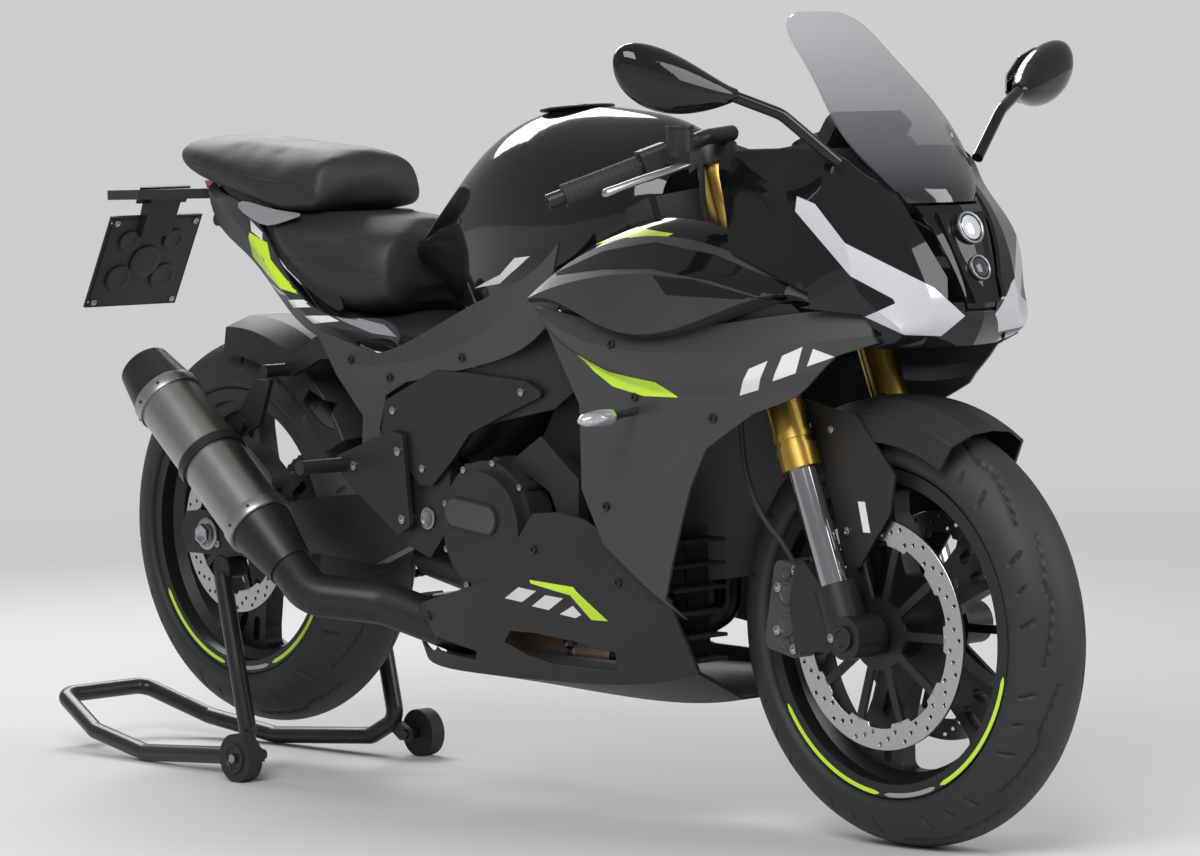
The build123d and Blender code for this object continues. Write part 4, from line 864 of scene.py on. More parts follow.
marks = {
    "thickness": 0.0007,
    "start": 0.6,          # how far out the shapes are projected from
    "least": 0.02,         # a point that moved less has missed its panel
    "cuts": 7,
    # name, finish, node, outline from the side in x and z, body where it isn't the bike
    "rows": [
        ("limeSweep", "limePaint", "side_fairings",
         [(0.385, 0.684), (0.451, 0.662), (0.550, 0.649), (0.583, 0.628), (0.518, 0.629), (0.456, 0.641),
          (0.418, 0.661)]),
        ("slashRear", "whitePaint", "side_fairings",
         [(0.687, 0.632), (0.712, 0.669), (0.741, 0.680), (0.718, 0.640)]),
        ("slashMiddle", "whitePaint", "side_fairings",
         [(0.743, 0.652), (0.763, 0.687), (0.793, 0.699), (0.778, 0.663)]),
        ("slashFront", "whitePaint", "side_fairings", [(0.795, 0.672), (0.807, 0.696), (0.834, 0.685)]),
        ("podTop", "glossBlack", "fairing_pods",
         [(0.318, 0.795), (0.432, 0.830), (0.533, 0.842), (0.646, 0.824), (0.771, 0.783), (0.768, 0.756),
          (0.746, 0.764), (0.654, 0.789), (0.547, 0.806), (0.450, 0.806)]),
        ("podInset", "glossBlack", "fairing_pods",
         [(0.554, 0.797), (0.626, 0.791), (0.746, 0.762), (0.582, 0.770)]),
        ("tailWhite", "whitePaint", "tail_cowl",
         [(-0.506, 0.879), (-0.466, 0.858), (-0.462, 0.846), (-0.496, 0.860)]),
        ("tailLime", "limePaint", "tail_cowl",
         [(-0.501, 0.858), (-0.449, 0.842), (-0.433, 0.816), (-0.387, 0.784), (-0.329, 0.757),
          (-0.400, 0.772), (-0.446, 0.791), (-0.500, 0.820)]),
        ("tailBlockRear", "whitePaint", "tail_cowl",
         [(-0.449, 0.779), (-0.412, 0.764), (-0.384, 0.761), (-0.412, 0.768)]),
        ("tailBlockMiddle", "whitePaint", "tail_cowl",
         [(-0.380, 0.754), (-0.342, 0.754), (-0.316, 0.743), (-0.366, 0.742)]),
        ("tailBlockFront", "whitePaint", "tail_cowl",
         [(-0.335, 0.730), (-0.277, 0.730), (-0.249, 0.722), (-0.313, 0.718)]),
        ("podLime", "limePaint", "podCrown",
         [(0.392, 0.838), (0.470, 0.862), (0.556, 0.853), (0.540, 0.846), (0.464, 0.848)]),
        ("bellyLime", "limePaint", "belly_pan",
         [(0.240, 0.356), (0.330, 0.350), (0.384, 0.303), (0.352, 0.303), (0.322, 0.338), (0.242, 0.351)]),
        ("bellyBlockRear", "whitePaint", "belly_pan",
         [(0.216, 0.344), (0.252, 0.340), (0.215, 0.322), (0.180, 0.326)]),
        ("bellyBlockMiddle", "whitePaint", "belly_pan",
         [(0.269, 0.335), (0.305, 0.332), (0.268, 0.313), (0.234, 0.317)]),
        ("bellyBlockFront", "whitePaint", "belly_pan",
         [(0.321, 0.322), (0.333, 0.309), (0.320, 0.304), (0.289, 0.308)]),
        ("tankTrim", "whitePaint", "fuel_tank",
         [(0.028, 0.772), (0.114, 0.793), (0.161, 0.818), (0.200, 0.821), (0.169, 0.806), (0.109, 0.780)]),
        ("tailGrey", "silverPaint", "tail_cowl",
         [(-0.300, 0.741), (-0.139, 0.7175), (-0.106, 0.700), (-0.167, 0.705), (-0.240, 0.722)]),
        ("guardBar", "whitePaint", "front_fender",
         [(0.790, 0.482), (0.803, 0.482), (0.812, 0.440), (0.799, 0.440)], "steering"),
    ],
}


def makeMark(name, finish, node, outline, body="bike"):
    # a thin painted shape laid on a panel, on both sides of the bike
    mark = added(bpy.ops.mesh.primitive_circle_add, vertices=len(outline), fill_type="NGON")
    for vertex, (x, z) in zip(mark.data.vertices, outline):
        vertex.co = (x, -marks["start"], z)
    editAll()
    bpy.ops.mesh.quads_convert_to_tris(ngon_method="BEAUTY")
    bpy.ops.mesh.subdivide(number_cuts=marks["cuts"])
    leaveEdit()
    addModifier(mark, "SHRINKWRAP", target=nodes.get(node) or bpy.data.objects[node], wrap_method="PROJECT",
                use_project_y=True, use_negative_direction=False, use_positive_direction=True)
    applyModifiers(mark)
    # what falls past the panel's edge is cut off
    bpy.ops.object.mode_set(mode="EDIT")
    bpy.ops.mesh.select_mode(type="VERT")
    bpy.ops.mesh.select_all(action="DESELECT")
    mesh = bmesh.from_edit_mesh(mark.data)
    for vertex in mesh.verts:
        vertex.select = vertex.co.y < marks["least"] - marks["start"]
    bmesh.update_edit_mesh(mark.data)
    bpy.ops.mesh.delete(type="VERT")
    leaveEdit()
    if sum(face.normal.y for face in mark.data.polygons) > 0:
        mark.data.flip_normals()
    addModifier(mark, "SOLIDIFY", thickness=marks["thickness"], offset=1)
    applyModifiers(mark)
    settlePair(mark, name, finish, body)


for row in marks["rows"]:
    makeMark(*row)
print("marks made")

tailDeck = {
    "thickness": 0.002,
    # x, z of the middle, half width and half height: closes the tail between cowl and seats
    "stations": [
        (-0.662, 0.924, 0.062, 0.012), (-0.590, 0.893, 0.082, 0.020), (-0.500, 0.858, 0.102, 0.026),
        (-0.440, 0.824, 0.108, 0.030), (-0.400, 0.796, 0.108, 0.034), (-0.340, 0.744, 0.112, 0.036),
        (-0.240, 0.700, 0.118, 0.036), (-0.110, 0.694, 0.124, 0.034), (0.030, 0.700, 0.118, 0.030),
    ],
    # dark wall closing the gap between the cowl's top edge and the seats, its black also painted shade for
    # the shadow line there: x, outer low, outer high
    "wall": [
        (-0.655, (0.060, 0.938), (0.056, 0.952)),
        (-0.590, (0.080, 0.913), (0.076, 0.938)),
        (-0.500, (0.104, 0.883), (0.092, 0.908)),
        (-0.452, (0.114, 0.842), (0.098, 0.898)),
        (-0.400, (0.127, 0.800), (0.118, 0.842)),
        (-0.320, (0.132, 0.762), (0.126, 0.795)),
        (-0.250, (0.136, 0.728), (0.126, 0.752)),
    ],
    # bright fin between the two seats
    "fin": [
        (-0.540, (0.112, 0.898), (0.104, 0.911)),
        (-0.490, (0.122, 0.880), (0.108, 0.902)),
        (-0.440, (0.130, 0.866), (0.112, 0.893)),
        (-0.395, (0.126, 0.877), (0.113, 0.889)),
        (-0.372, (0.118, 0.884), (0.112, 0.887)),
    ],
}


middleBar(tailDeck["stations"], 24, "tailDeck", "mattPlastic")
# the dark wall closes the gap and also serves as painted shade for the shadow line under the seats
sheetThrough(tailDeck["wall"], tailDeck["thickness"], "satinBlack", "tailWall")
sheetThrough(tailDeck["fin"], tailDeck["thickness"], "silverPaint", "tailFin")
print("tail closed")

slots = {
    # pale shield behind the belly slots, and the sleeve with its clamp on the exhaust
    "shield": [(-0.050, 0.212), (0.395, 0.208), (0.395, 0.236), (-0.050, 0.240)],
    "shieldY": -0.116,
    "shieldThickness": 0.001,
    "sleeve": [
        (0.060, -0.0943, 0.2482), (0.120, -0.0771, 0.2408), (0.180, -0.060, 0.2335), (0.290, -0.060, 0.2347)],
    "sleeveRadius": 0.0345,
    # spot, facing, radius, depth, corners, inset and dish of the clamp and of its lug
    "clamp": ((0.200, -0.060, 0.2337), (1, 0, 0.01), 0.038, 0.020, 40, 0.003, 0.001),
    "lug": ((0.210, -0.094, 0.250), (0, -1, 0.3), 0.007, 0.014, 6),
}
shield = flatPanel(slots["shield"], wheelSide((0, 0), slots["shieldY"]), slots["shieldThickness"])
settle(shield, "slotShield", "silverPaint")
# the sleeve's bright bronze is painted light
settle(tubeThrough(slots["sleeve"], slots["sleeveRadius"], 8), "exhaustSleeve", "bronzeWithPaintedLight", angle=50)
clamp = drumAt(*slots["clamp"])
settle(joined([drumAt(*slots["lug"]), clamp]), "sleeveClamp", "bareSteel")
print("slots filled")

levers = {
    # on the right: x, y, z, half width and half height from the perch out to the ball tip
    "stations": [
        (0.626, -0.222, 0.952, 0.016, 0.0060), (0.642, -0.240, 0.950, 0.0135, 0.0058),
        (0.646, -0.262, 0.945, 0.0100, 0.0055), (0.640, -0.284, 0.939, 0.0085, 0.0055),
        (0.629, -0.306, 0.932, 0.0080, 0.0055), (0.617, -0.326, 0.925, 0.0078, 0.0055),
        (0.607, -0.343, 0.918, 0.0076, 0.0055), (0.600, -0.352, 0.914, 0.0088, 0.0070),
        (0.598, -0.358, 0.912, 0.0060, 0.0050),
    ],
    "adjuster": ((0.634, -0.236, 0.956), (0.05, 0.2, 1), 0.009, 0.006, 20, 0.003, 0.001),
}


def makeLevers():
    blade = barThrough(levers["stations"], "Y", 14)
    rounded(blade, 1)
    applyModifiers(blade)
    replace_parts(settlePair(blade, "leverBlades", "bareSteel", "steering", 40), "levers")
    settlePair(drumAt(*levers["adjuster"]), "leverAdjusters", "castAlloy", "steering")


makeLevers()
print("levers made")

plateBack = {
    "half": 0.088,
    "rise": 0.081,
    "thickness": 0.0015,
    # how far out of the middle plane: panel, rings, bolts behind and in front
    "panelOut": -0.002,
    "ringOut": -0.0056,
    "boltsOut": (0.002, -0.0035),
    "ringDepth": 0.0018,
    "ringInset": 0.3,      # of the ring's radius
    "ringDish": 0.0012,
    # radius, depth, corners, inset and dish
    "bolt": (0.0055, 0.003, 16, 0.002, 0.001),
    "spot": (-0.943, 0, 0.811),
    "facing": (-0.866, 0, 0.5),
    # embossed rings: across and up the plate, radius
    "rings": [
        (-0.045, 0.030, 0.024), (0.045, 0.030, 0.024), (0, 0, 0.030), (-0.045, -0.040, 0.020),
        (0.045, -0.040, 0.020)],
    "bolts": [(-0.080, 0.075), (0.080, 0.075), (-0.080, -0.075), (0.080, -0.075)],
}


def onPlate(offset, u=0, v=0, turnedIn=False):
    # a place on the holder's rear face, u across and v up, looking out or in
    facing, side = Vector(plateBack["facing"]), Vector((0, 1, 0))
    turn = Matrix((side, facing.cross(side), facing)).transposed().to_4x4()
    place = Matrix.Translation(Vector(plateBack["spot"]) + facing * offset) @ turn
    return place @ Matrix.Translation((u, v, 0)) @ Matrix.Scale(-1 if turnedIn else 1, 4, (0, 0, 1))


def makePlateBack():
    half, rise = plateBack["half"], plateBack["rise"]
    outline = [(-half, -rise), (half, -rise), (half, rise), (-half, rise)]
    pieces = [flatPanel(outline, onPlate(plateBack["panelOut"]), plateBack["thickness"])]
    for u, v, radius in plateBack["rings"]:
        ring = drumAt((0, 0, 0), (0, 0, 1), radius, plateBack["ringDepth"], 36,
                      radius * plateBack["ringInset"], plateBack["ringDish"])
        ring.data.transform(onPlate(plateBack["ringOut"], u, v, True))
        ring.data.flip_normals()
        pieces.append(ring)
    settle(joined(pieces), "plateBacking", "mattPlastic")
    bolts = []
    rear, fore = plateBack["boltsOut"]
    for u, v in plateBack["bolts"]:
        bolt = drumAt((0, 0, 0), (0, 0, 1), *plateBack["bolt"])
        front = copyOf(bolt, onPlate(fore, u, v, True))
        bolt.data.transform(onPlate(rear, u, v))
        bolts += [bolt, front]
    settle(joined(bolts), "plateBolts", "bareSteel")


makePlateBack()
print("plate holder closed")

canTrim = {
    # the can's axis, from its foot to its mouth
    "foot": (-0.365, -0.215, 0.406),
    "mouth": (-0.603, -0.215, 0.606),
    "radius": 0.0549,
    "width": 0.020,
    "wall": 0.0012,
    "edge": 0.0005,
    "bands": (0.002, 0.289),   # distances up the can
    "rivets": 8,
    "rivetRadius": 0.0028,
    "rivetDepth": 0.0018,
    "rivetSunk": 0.0006,
}


def makeCanTrim():
    foot = Vector(canTrim["foot"])
    axis = (Vector(canTrim["mouth"]) - foot).normalized()
    turn = turnTo(axis).to_3x3()
    radius, width = canTrim["radius"], canTrim["width"]
    bands, rivets = [], []
    for along in canTrim["bands"]:
        band = added(bpy.ops.mesh.primitive_cylinder_add, vertices=96, radius=radius, depth=width,
                     end_fill_type="NOTHING")
        addModifier(band, "SOLIDIFY", thickness=canTrim["wall"], offset=-1)
        soften(band, canTrim["edge"], 2)
        applyModifiers(band)
        middle = foot + axis * (along + width / 2)
        standOn(band, middle, axis)
        bands.append(band)
        for x, y in ringSpots(1, canTrim["rivets"]):
            out = turn @ Vector((x, y, 0))
            spot = middle + out * (radius - canTrim["rivetSunk"])
            rivets.append(drumAt(spot, out, canTrim["rivetRadius"], canTrim["rivetDepth"], 10))
    settle(joined(bands), "canBands", "bareSteel")
    settle(joined(rivets), "canRivets", "castAlloy")


makeCanTrim()
print("can trimmed")

lamps = {
    "facing": (0.94, 0, 0.34),
    # middle of each barrel's face, radius, lens, finish
    "rows": [
        ((0.9395, 0, 0.8535), 0.022, "upperLens", "lensClear"),
        ((0.9555, 0, 0.7995), 0.017, "lowerLens", "lensDark"),
    ],
    # of the barrel's radius
    "rim": 1.06,
    "rimInset": 0.16,
    "dome": 0.84,
    "domeHeight": 0.38,    # of the dome's radius
    "rimDepth": 0.006,
    "rimDish": 0.004,
    # how far in from the barrel's face
    "rimBack": 0.004,
    "domeBack": 0.002,
}


def makeProjectors():
    rims, domes = [], []
    facing = Vector(lamps["facing"]).normalized()
    for spot, radius, _, _ in lamps["rows"]:
        rims.append(drumAt(
            Vector(spot) - facing * lamps["rimBack"], lamps["facing"], radius * lamps["rim"],
            lamps["rimDepth"], 40, radius * lamps["rimInset"], lamps["rimDish"]))
        dome = added(bpy.ops.mesh.primitive_uv_sphere_add, segments=40, ring_count=20,
                     radius=radius * lamps["dome"])
        editAll()
        bpy.ops.mesh.bisect(plane_co=(0, 0, 0), plane_no=(0, 0, 1), clear_inner=True, use_fill=True)
        bpy.ops.mesh.select_all(action="SELECT")
        bpy.ops.transform.resize(value=(1, 1, lamps["domeHeight"]), center_override=(0, 0, 0))
        leaveEdit()
        standOn(dome, Vector(spot) - facing * lamps["domeBack"], facing)
        domes.append(dome)
    settle(joined(rims), "projectorRims", "bareSteel")
    for dome, (_, _, name, finish) in zip(domes, lamps["rows"]):
        settle(dome, name, finish, angle=60)


makeProjectors()
print("projectors made")

blinkers = {
    # on the right: x, y, z, half width and half height
    "stem": [
        (0.499, -0.222, 0.607, 0.006, 0.006), (0.495, -0.246, 0.604, 0.0055, 0.0055),
        (0.492, -0.262, 0.602, 0.011, 0.009),
    ],
    "lens": [
        (0.492, -0.262, 0.602, 0.0145, 0.0105), (0.490, -0.272, 0.6015, 0.0165, 0.0115),
        (0.488, -0.284, 0.6005, 0.0165, 0.0115), (0.486, -0.296, 0.5995, 0.0150, 0.0105),
        (0.4845, -0.305, 0.599, 0.0115, 0.0085), (0.484, -0.310, 0.5985, 0.0060, 0.0045),
    ],
    "ribRadius": 0.0155,
    "ribHalf": 0.0009,
    "ribFlat": 0.70,
    "ribStart": (0.4905, -0.268, 0.6014),
    "ribStep": (-0.0009, -0.0075, -0.0004),
    # width of each rib
    "ribs": (1, 1, 1, 0.93, 0.84),
}


def makeBlinkers():
    for part, finish, corners in (("stem", "mattPlastic", 16), ("lens", "lampGlass", 28)):
        bar = barThrough(blinkers[part], "Y", corners)
        name = {"stem": "blinkerStems", "lens": "blinkerLenses"}[part]
        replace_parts(settlePair(bar, name, finish, angle=40), "indicators")
    ribs = []
    for i, wide in enumerate(blinkers["ribs"]):
        rib = added(bpy.ops.mesh.primitive_torus_add, major_segments=36, minor_segments=6,
                    major_radius=blinkers["ribRadius"], minor_radius=blinkers["ribHalf"])
        spot = Vector(blinkers["ribStart"]) + Vector(blinkers["ribStep"]) * i
        squeeze = Matrix.Diagonal((wide, blinkers["ribFlat"] * wide, 1, 1))
        rib.data.transform(Matrix.Translation(spot) @ Matrix.Rotation(math.pi / 2, 4, "X") @ squeeze)
        ribs.append(rib)
    settlePair(joined(ribs), "blinkerRibs", "lampGlass", angle=60)


makeBlinkers()
print("indicators made")

clutchPad = {
    "middle": (0.105, 0.442),
    "y": -0.1930,
    "length": 0.112,
    "height": 0.040,
    "turn": 7,
    "thickness": 0.0016,
    "edge": 0.0005,
}


def makeClutchPad():
    half, radius = (clutchPad["length"] - clutchPad["height"]) / 2, clutchPad["height"] / 2
    outline = []
    for side in (1, -1):
        for i in range(13):
            angle = math.radians(-90 + 180 * i / 12)
            outline.append((side * (half + radius * math.cos(angle)), side * radius * math.sin(angle)))
    thickness = clutchPad["thickness"]
    place = wheelSide(clutchPad["middle"], clutchPad["y"] - thickness)
    pad = flatPanel(outline, place @ Matrix.Rotation(math.radians(-clutchPad["turn"]), 4, "Z"), thickness)
    soften(pad, clutchPad["edge"], 2)
    settle(pad, "clutchPad", "caliperGrey")


makeClutchPad()
print("clutch pad made")

fasteners = {
    "headHeight": 0.62,    # of the head's radius
    "sunk": 0.1,           # of the head's radius
    "castFrom": 0.6,
    # width and rise of the head's dome, its flat, and its socket's wall, in radii
    "insets": [(0.22, 0.10), (0.30, 0), (0.02, -0.34)],
    # body, finish, radius, node, sides, spots as x and z, or a ring as middle, reach and count
    "rows": [
        ("bike", "bareSteel", 0.0052, "engine_covers", (-1,), ((0.123, 0.423), 0.098, 9)),
        ("bike", "bareSteel", 0.0048, "engine_covers", (1,), ((0.205, 0.370), 0.072, 7)),
        ("bike", "satinBlack", 0.0065, "side_fairings", (-1, 1),
         [(0.500, 0.627), (0.640, 0.600), (0.420, 0.470), (0.470, 0.700)]),
        ("bike", "satinBlack", 0.0065, "side_panels", (-1, 1),
         [(0.060, 0.672), (-0.110, 0.640), (-0.200, 0.665)]),
        ("bike", "bareSteel", 0.0060, "frame_covers", (-1, 1),
         [(-0.105, 0.590), (0.190, 0.624), (-0.040, 0.505)]),
        ("bike", "satinBlack", 0.0065, "belly_pan", (-1, 1),
         [(0.250, 0.400), (0.420, 0.360), (-0.030, 0.285)]),
        ("bike", "bareSteel", 0.0070, "footrests", (-1, 1),
         [(-0.084, 0.530), (-0.078, 0.428), (-0.190, 0.505)]),
        ("bike", "bareSteel", 0.0060, "swingarm", (-1, 1),
         [(-0.550, 0.395), (-0.585, 0.365), (-0.520, 0.425)]),
        ("steering", "bareSteel", 0.0060, "front_fender", (-1, 1), [(0.742, 0.580), (0.768, 0.440)]),
        ("steering", "bareSteel", 0.0075, "front_calipers", (-1, 1),
         [(0.655, 0.360), (0.652, 0.300), (0.690, 0.385), (0.684, 0.275)]),
        ("steering", "bareSteel", 0.0065, "fork_feet", (-1, 1), [(0.790, 0.300), (0.762, 0.375)]),
    ],
}


def screwHead():
    # button head one unit in radius, with a six-sided socket
    height = fasteners["headHeight"]
    head = added(bpy.ops.mesh.primitive_cylinder_add, vertices=18, radius=1, depth=height,
                 location=(0, 0, height / 2 - fasteners["sunk"]))
    bpy.ops.object.transform_apply(location=True, rotation=True, scale=True)
    pickFaces(head, lambda face: face.normal.z > 0.9)
    for thickness, depth in fasteners["insets"]:
        bpy.ops.mesh.inset(thickness=thickness, depth=depth)
    leaveEdit()
    return head


def makeFasteners():
    head = screwHead()
    groups = {}
    for body, finish, radius, node, sides, spots in fasteners["rows"]:
        if isinstance(spots, tuple):
            (midX, midZ), reach, count = spots
            spots = [(midX + x, midZ + z) for x, z in ringSpots(reach, count)]
        for side in sides:
            for x, z in spots:
                spot, normal = nearestOn(node, (x, side * fasteners["castFrom"], z), (0, -side, 0))
                if spot is not None:
                    place = Matrix.Translation(spot) @ turnTo(normal) @ Matrix.Scale(radius, 4)
                    groups.setdefault((body, finish), []).append(copyOf(head, place))
    bpy.data.objects.remove(head)
    for (body, finish), bolts in groups.items():
        settle(joined(bolts), "screws" + body.title() + finish[0].upper() + finish[1:], finish, body)


makeFasteners()
print("fasteners placed")

hubs = {
    # on both sides: name, finish, body, spot on the right, radius, depth, corners, inset, dish
    "rows": [
        ("frontAxleCap", "castAlloy", "steering", (0.81, -0.1345, 0.30), 0.017, 0.004, 40, 0.005, 0.003),
        ("rearAxlePlate", "bareSteel", "bike", (-0.61, -0.134, 0.38), 0.026, 0.005, 40, 0.006, 0.001),
        ("rearAxleNut", "hardChrome", "bike", (-0.61, -0.139, 0.38), 0.017, 0.011, 6, 0.004, 0.002),
        ("pivotCap", "bareSteel", "bike", (-0.04, -0.1515, 0.43), 0.017, 0.004, 32, 0.005, 0.003),
    ],
    "cups": ("standCups", "gripRubber", "bike", (-0.561, -0.144, 0.328), 0.020, 0.005, 32, 0.005, 0.002),
    # the stand's own wheels: outer face, then radius, depth, corners, inset and dish
    "standWheel": (-0.476, 0.199, 0.038),
    "standRim": (0.024, 0.0035, 40, 0.006, 0.003),
    "standBolt": (0.008, 0.004, 6, 0.002, 0.001),
    "boltOut": 0.002,
}


def makeHub(name, finish, body, spot, *shape):
    settlePair(drumAt(spot, (0, -1, 0), *shape), name, finish, body)


def makeStandWheel(side, end):
    x, y, z = hubs["standWheel"]
    rim = drumAt((x, side * y, z), (0, side, 0), *hubs["standRim"])
    settle(rim, "standRim" + end, "castAlloy", "stand_wheel_" + end.lower())
    bolt = drumAt((x, side * (y + hubs["boltOut"]), z), (0, side, 0), *hubs["standBolt"])
    settle(bolt, "standBolt" + end, "bareSteel", "stand_wheel_" + end.lower())


for row in hubs["rows"]:
    makeHub(*row)
makeStandWheel(-1, "Right")
makeStandWheel(1, "Left")
makeHub(*hubs["cups"])
print("hubs made")

calipers = {
    "castFrom": 0.6,
    "sunk": 0.001,
    # on the right: x and z of the spots, radius, depth, corners, inset, dish
    "pistons": [((0.672, 0.352), (0.669, 0.308)), 0.0165, 0.004, 36, 0.004, 0.0015],
    "bosses": [((0.672, 0.379), (0.668, 0.281)), 0.00825, 0.004, 24, 0.002, 0.001],
}


def makePistons():
    caps = []
    for spots, *shape in (calipers["pistons"], calipers["bosses"]):
        for x, z in spots:
            spot, normal = nearestOn("front_calipers", (x, -calipers["castFrom"], z), (0, 1, 0))
            caps.append(drumAt(spot - normal * calipers["sunk"], normal, *shape))
    settlePair(joined(caps), "caliperPistons", "caliperGrey", "steering")


makePistons()
print("calipers detailed")

tankCap = {
    "spot": (0.150, 0.0, 1.0325),
    "facing": (-0.07, 0, 1),
    # radius, depth, corners, inset, dish
    "ring": (0.056, 0.004, 64, 0.012, 0.0015),
    "lid": (0.036, 0.0035, 48, 0.005, 0.001),
    "screw": (0.0032, 0.0022, 14, 0.0012, 0.0008),
    "screws": 6,
    "screwReach": 0.050,
    "screwRise": 0.003,
    "lidRise": 0.002,
}


def makeTankCap():
    spot, facing = Vector(tankCap["spot"]), tankCap["facing"]
    settle(drumAt(spot, facing, *tankCap["ring"]), "tankCapRing", "castAlloy")
    lid = drumAt(spot + Vector((0, 0, tankCap["lidRise"])), facing, *tankCap["lid"])
    settle(lid, "tankCapLid", "satinBlack")
    screws = []
    for x, y in ringSpots(tankCap["screwReach"], tankCap["screws"]):
        out = turnTo(facing).to_3x3() @ Vector((x, y, tankCap["screwRise"]))
        screws.append(drumAt(spot + out, facing, *tankCap["screw"]))
    settle(joined(screws), "tankCapScrews", "bareSteel")


makeTankCap()
print("fuel cap made")

switches = {
    # on the right switch block: name, finish, spot, facing, radius, depth
    "rows": [
        ("stopSwitch", "switchRed", (0.598, -0.232, 0.972), (-0.5, -0.2, 0.85), 0.0085, 0.006),
        ("startSwitch", "gripRubber", (0.583, -0.236, 0.950), (-1, 0, 0.3), 0.0070, 0.005),
        ("fluidCap", "castAlloy", (0.622, -0.236, 0.9965), (0, 0, 1), 0.0195, 0.005),
    ],
    "rim": 0.25,           # of the radius
    "dish": 0.001,
    # the grip's ends and the rings along it
    "gripInner": (0.572, -0.250, 0.950),
    "gripOuter": (0.500, -0.372, 0.902),
    "ridges": 14,
    "ridgeStart": 0.020,
    "ridgeStep": 0.0078,
    "ridgeRadius": 0.0165,
    "ridgeHalf": 0.0009,
}


def makeRidges():
    inner = Vector(switches["gripInner"])
    along = (Vector(switches["gripOuter"]) - inner).normalized()
    ridges = []
    for i in range(switches["ridges"]):
        ridge = added(bpy.ops.mesh.primitive_torus_add, major_segments=32, minor_segments=6,
                      major_radius=switches["ridgeRadius"], minor_radius=switches["ridgeHalf"])
        standOn(ridge, inner + along * (switches["ridgeStart"] + switches["ridgeStep"] * i), along)
        ridges.append(ridge)
    settlePair(joined(ridges), "gripRidges", "gripRubber", "steering", 60)


for name, finish, spot, facing, radius, depth in switches["rows"]:
    button = drumAt(spot, facing, radius, depth, 28, radius * switches["rim"], switches["dish"])
    settle(button, name, finish, "steering")
makeRidges()
print("switches made")

seams = {
    "radius": 0.0017,
    "castFrom": 0.4,
    "sunk": 0.3,           # of the radius
    # pad, x from and to, heights of the curve's start, middle handle and end
    "rows": [
        ("riderPad", -0.425, -0.190, 0.826, 0.812, 0.796),
        ("passengerPad", -0.700, -0.350, 0.974, 0.951, 0.922),
    ],
    "steps": 14,
}


def makeSeam(pad, start, stop, first, middle, last):
    bpy.context.view_layer.update()
    spots = []
    for i in range(seams["steps"]):
        share = i / (seams["steps"] - 1)
        x = start + (stop - start) * share
        z = first * (1 - share) ** 2 + 2 * middle * share * (1 - share) + last * share ** 2
        outside = Vector((x, -seams["castFrom"], z))
        hit, spot, normal, _ = bpy.data.objects[pad].ray_cast(outside, Vector((0, 1, 0)))
        if hit:
            spots.append(spot - normal * seams["radius"] * seams["sunk"])
    settlePair(tubeThrough(spots, seams["radius"]), pad + "Seam", "gripRubber", angle=60)


for row in seams["rows"]:
    makeSeam(*row)
print("seams made")

infills = {
    "thickness": 0.002,
    # closed dark bodies along the bike: x, z of the middle, half width and half height
    "bars": {
        "intakeBox": [
            (-0.085, 0.535, 0.040, 0.030), (-0.060, 0.535, 0.064, 0.048), (0.020, 0.570, 0.068, 0.060),
            (0.150, 0.645, 0.070, 0.040), (0.230, 0.680, 0.066, 0.034), (0.250, 0.690, 0.050, 0.024),
        ],
        "linkageBody": [
            (-0.228, 0.356, 0.030, 0.020), (-0.205, 0.356, 0.048, 0.036), (-0.060, 0.340, 0.056, 0.050),
            (0.010, 0.330, 0.056, 0.050), (0.030, 0.330, 0.044, 0.036),
        ],
    },
    # x, then y and z of points down a dark wall
    "walls": {
        "coverBacking": [
            (-0.150, (0.142, 0.690), (0.142, 0.590)), (-0.060, (0.142, 0.690), (0.142, 0.580)),
            (0.060, (0.142, 0.700), (0.142, 0.600)),
        ],
        "noseJoint": [
            (0.790, (0.172, 0.742), (0.166, 0.704)), (0.850, (0.142, 0.736), (0.134, 0.698)),
            (0.895, (0.112, 0.728), (0.106, 0.697)), (0.928, (0.078, 0.716), (0.074, 0.696)),
        ],
    },
}


for name, stations in infills["bars"].items():
    middleBar(stations, 20, name, "castAlloy")
for name, stations in infills["walls"].items():
    sheetThrough(stations, infills["thickness"], "mattPlastic", name)
print("infills made")

studio = {
    "backdrop": (0.62, 0.62, 0.63),
    "tint": (0.985, 0.99, 1, 1),
    "sky": 0.34,
    "width": 80,
    "floorRough": 0.7,
    "fadeFrom": 2.2,
    "fadeTo": 6.0,
    # name, spot, aim, size, power
    "lights": [
        ("keyLight", (2.5, -3.5, 4.0), (0, 0, 0.6), (3.5, 2.5), 230),
        ("fillLight", (4.5, 2.0, 2.5), (0.2, 0, 0.6), (2.5, 2.5), 90),
        ("rimLight", (-3.5, 1.5, 3.2), (-0.2, 0, 0.7), (3.0, 1.6), 130),
    ],
    # seen from the front right, slightly above hip height; turns in degrees
    "camera": {
        "spot": (5.0966, -4.4223, 0.9694), "azimuth": 48.03, "elevation": 3.53, "roll": -1.62,
        "lens": 134.39, "sensor": 36},
}


def softbox(name, spot, aim, size, power):
    bpy.ops.object.light_add(type="AREA", location=spot)
    lamp = bpy.context.object
    lamp.name = name
    lamp.data.shape = "RECTANGLE"
    lamp.data.size, lamp.data.size_y = size
    lamp.data.energy = power
    lamp.rotation_euler = (Vector(aim) - Vector(spot)).to_track_quat("-Z", "Y").to_euler()


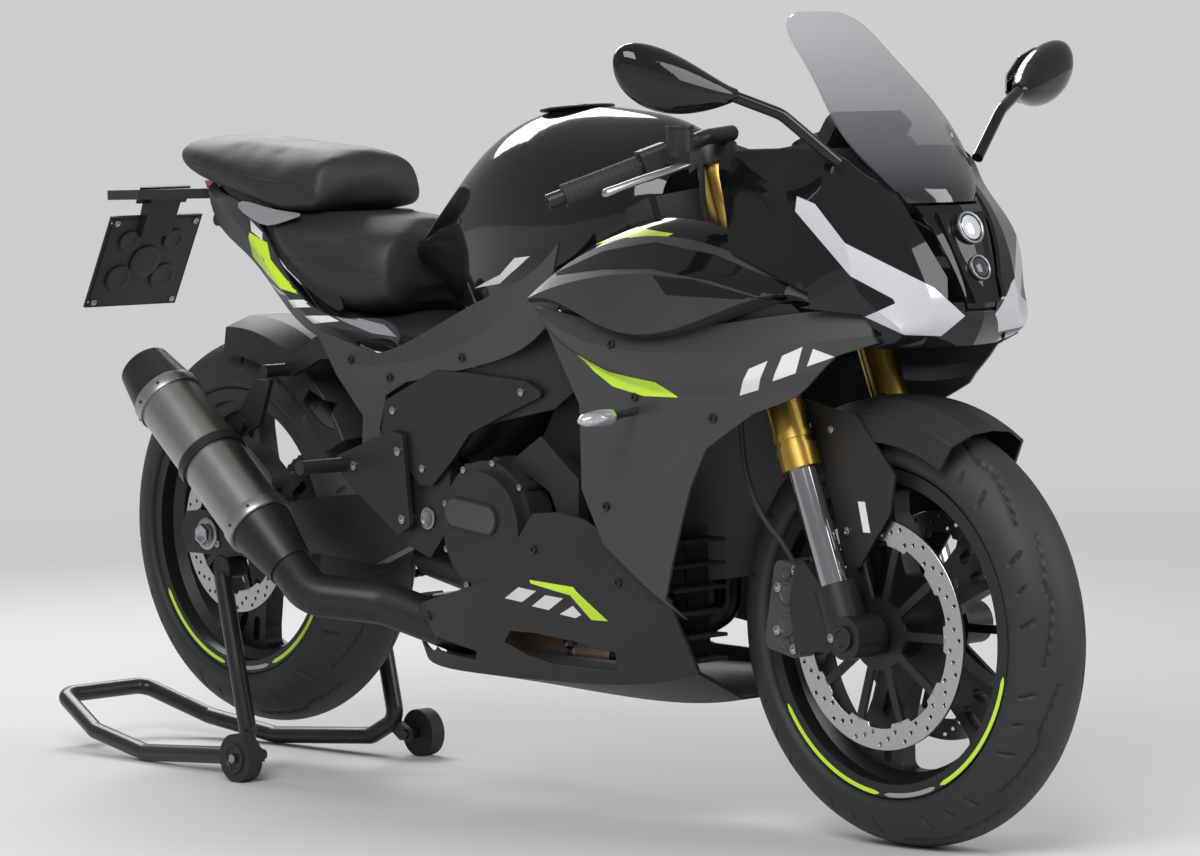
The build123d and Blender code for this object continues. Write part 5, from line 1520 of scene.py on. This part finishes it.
def paleFloor():
    # lit near the bike so that it holds the shadow, and fading to the sky's own tone far off
    made = bpy.data.materials.new("paleFloor")
    made.use_nodes = True
    tree = made.node_tree
    lit = tree.nodes["Principled BSDF"]
    place = Wire(tree).make("ShaderNodeTexCoord", None, None, 3)
    x, y, _ = place.axes()
    away = (x * x + y * y) ** 0.5
    far = place.make("ShaderNodeMapRange", {"interpolation_type": "SMOOTHSTEP"},
                     {"Value": away, "From Min": studio["fadeFrom"], "From Max": studio["fadeTo"]})
    lit.inputs["Base Color"].default_value = (*studio["backdrop"], 1)
    lit.inputs["Roughness"].default_value = studio["floorRough"]
    glow = tree.nodes.new("ShaderNodeEmission")
    glow.inputs["Color"].default_value = studio["tint"]
    glow.inputs["Strength"].default_value = studio["backdrop"][0]
    blend = tree.nodes.new("ShaderNodeMixShader")
    for spot, socket in enumerate((far.socket, lit.outputs[0], glow.outputs[0])):
        tree.links.new(socket, blend.inputs[spot])
    tree.links.new(blend.outputs[0], tree.nodes["Material Output"].inputs["Surface"])
    return made


def buildStudio():
    # a pale floor all round, under an even pale sky
    floor = added(bpy.ops.mesh.primitive_plane_add, size=studio["width"])
    floor.name = "studioFloor"
    floor.data.materials.append(paleFloor())
    world = bpy.data.worlds.new("studio")
    bpy.context.scene.world = world
    world.use_nodes = True
    tree = world.node_tree
    ground = tree.nodes["Background"]
    paths = tree.nodes.new("ShaderNodeLightPath")
    seen = Wire(tree, paths.outputs["Is Camera Ray"])
    strength = seen * (studio["backdrop"][0] - studio["sky"]) + studio["sky"]
    ground.inputs["Color"].default_value = studio["tint"]
    tree.links.new(strength.socket, ground.inputs["Strength"])
    for row in studio["lights"]:
        softbox(*row)


def placeCamera():
    shot = studio["camera"]
    azimuth, elevation, roll = (math.radians(shot[turn]) for turn in ("azimuth", "elevation", "roll"))
    level = math.cos(elevation)
    back = Vector((math.sin(azimuth) * level, -math.cos(azimuth) * level, math.sin(elevation)))
    across = Vector((0, 0, 1)).cross(back).normalized()
    up = back.cross(across)
    right = math.cos(roll) * across + math.sin(roll) * up
    upright = math.cos(roll) * up - math.sin(roll) * across
    lens = bpy.data.cameras.new("mainCamera")
    lens.lens, lens.sensor_width = shot["lens"], shot["sensor"]
    camera = bpy.data.objects.new("mainCamera", lens)
    bpy.context.scene.collection.objects.link(camera)
    turn = Matrix((right, upright, back)).transposed().to_4x4()
    camera.matrix_world = Matrix.Translation(Vector(shot["spot"])) @ turn
    bpy.context.scene.camera = camera


placeCamera()
buildStudio()
bpy.context.scene.view_settings.view_transform = "Standard"
print("studio ready")
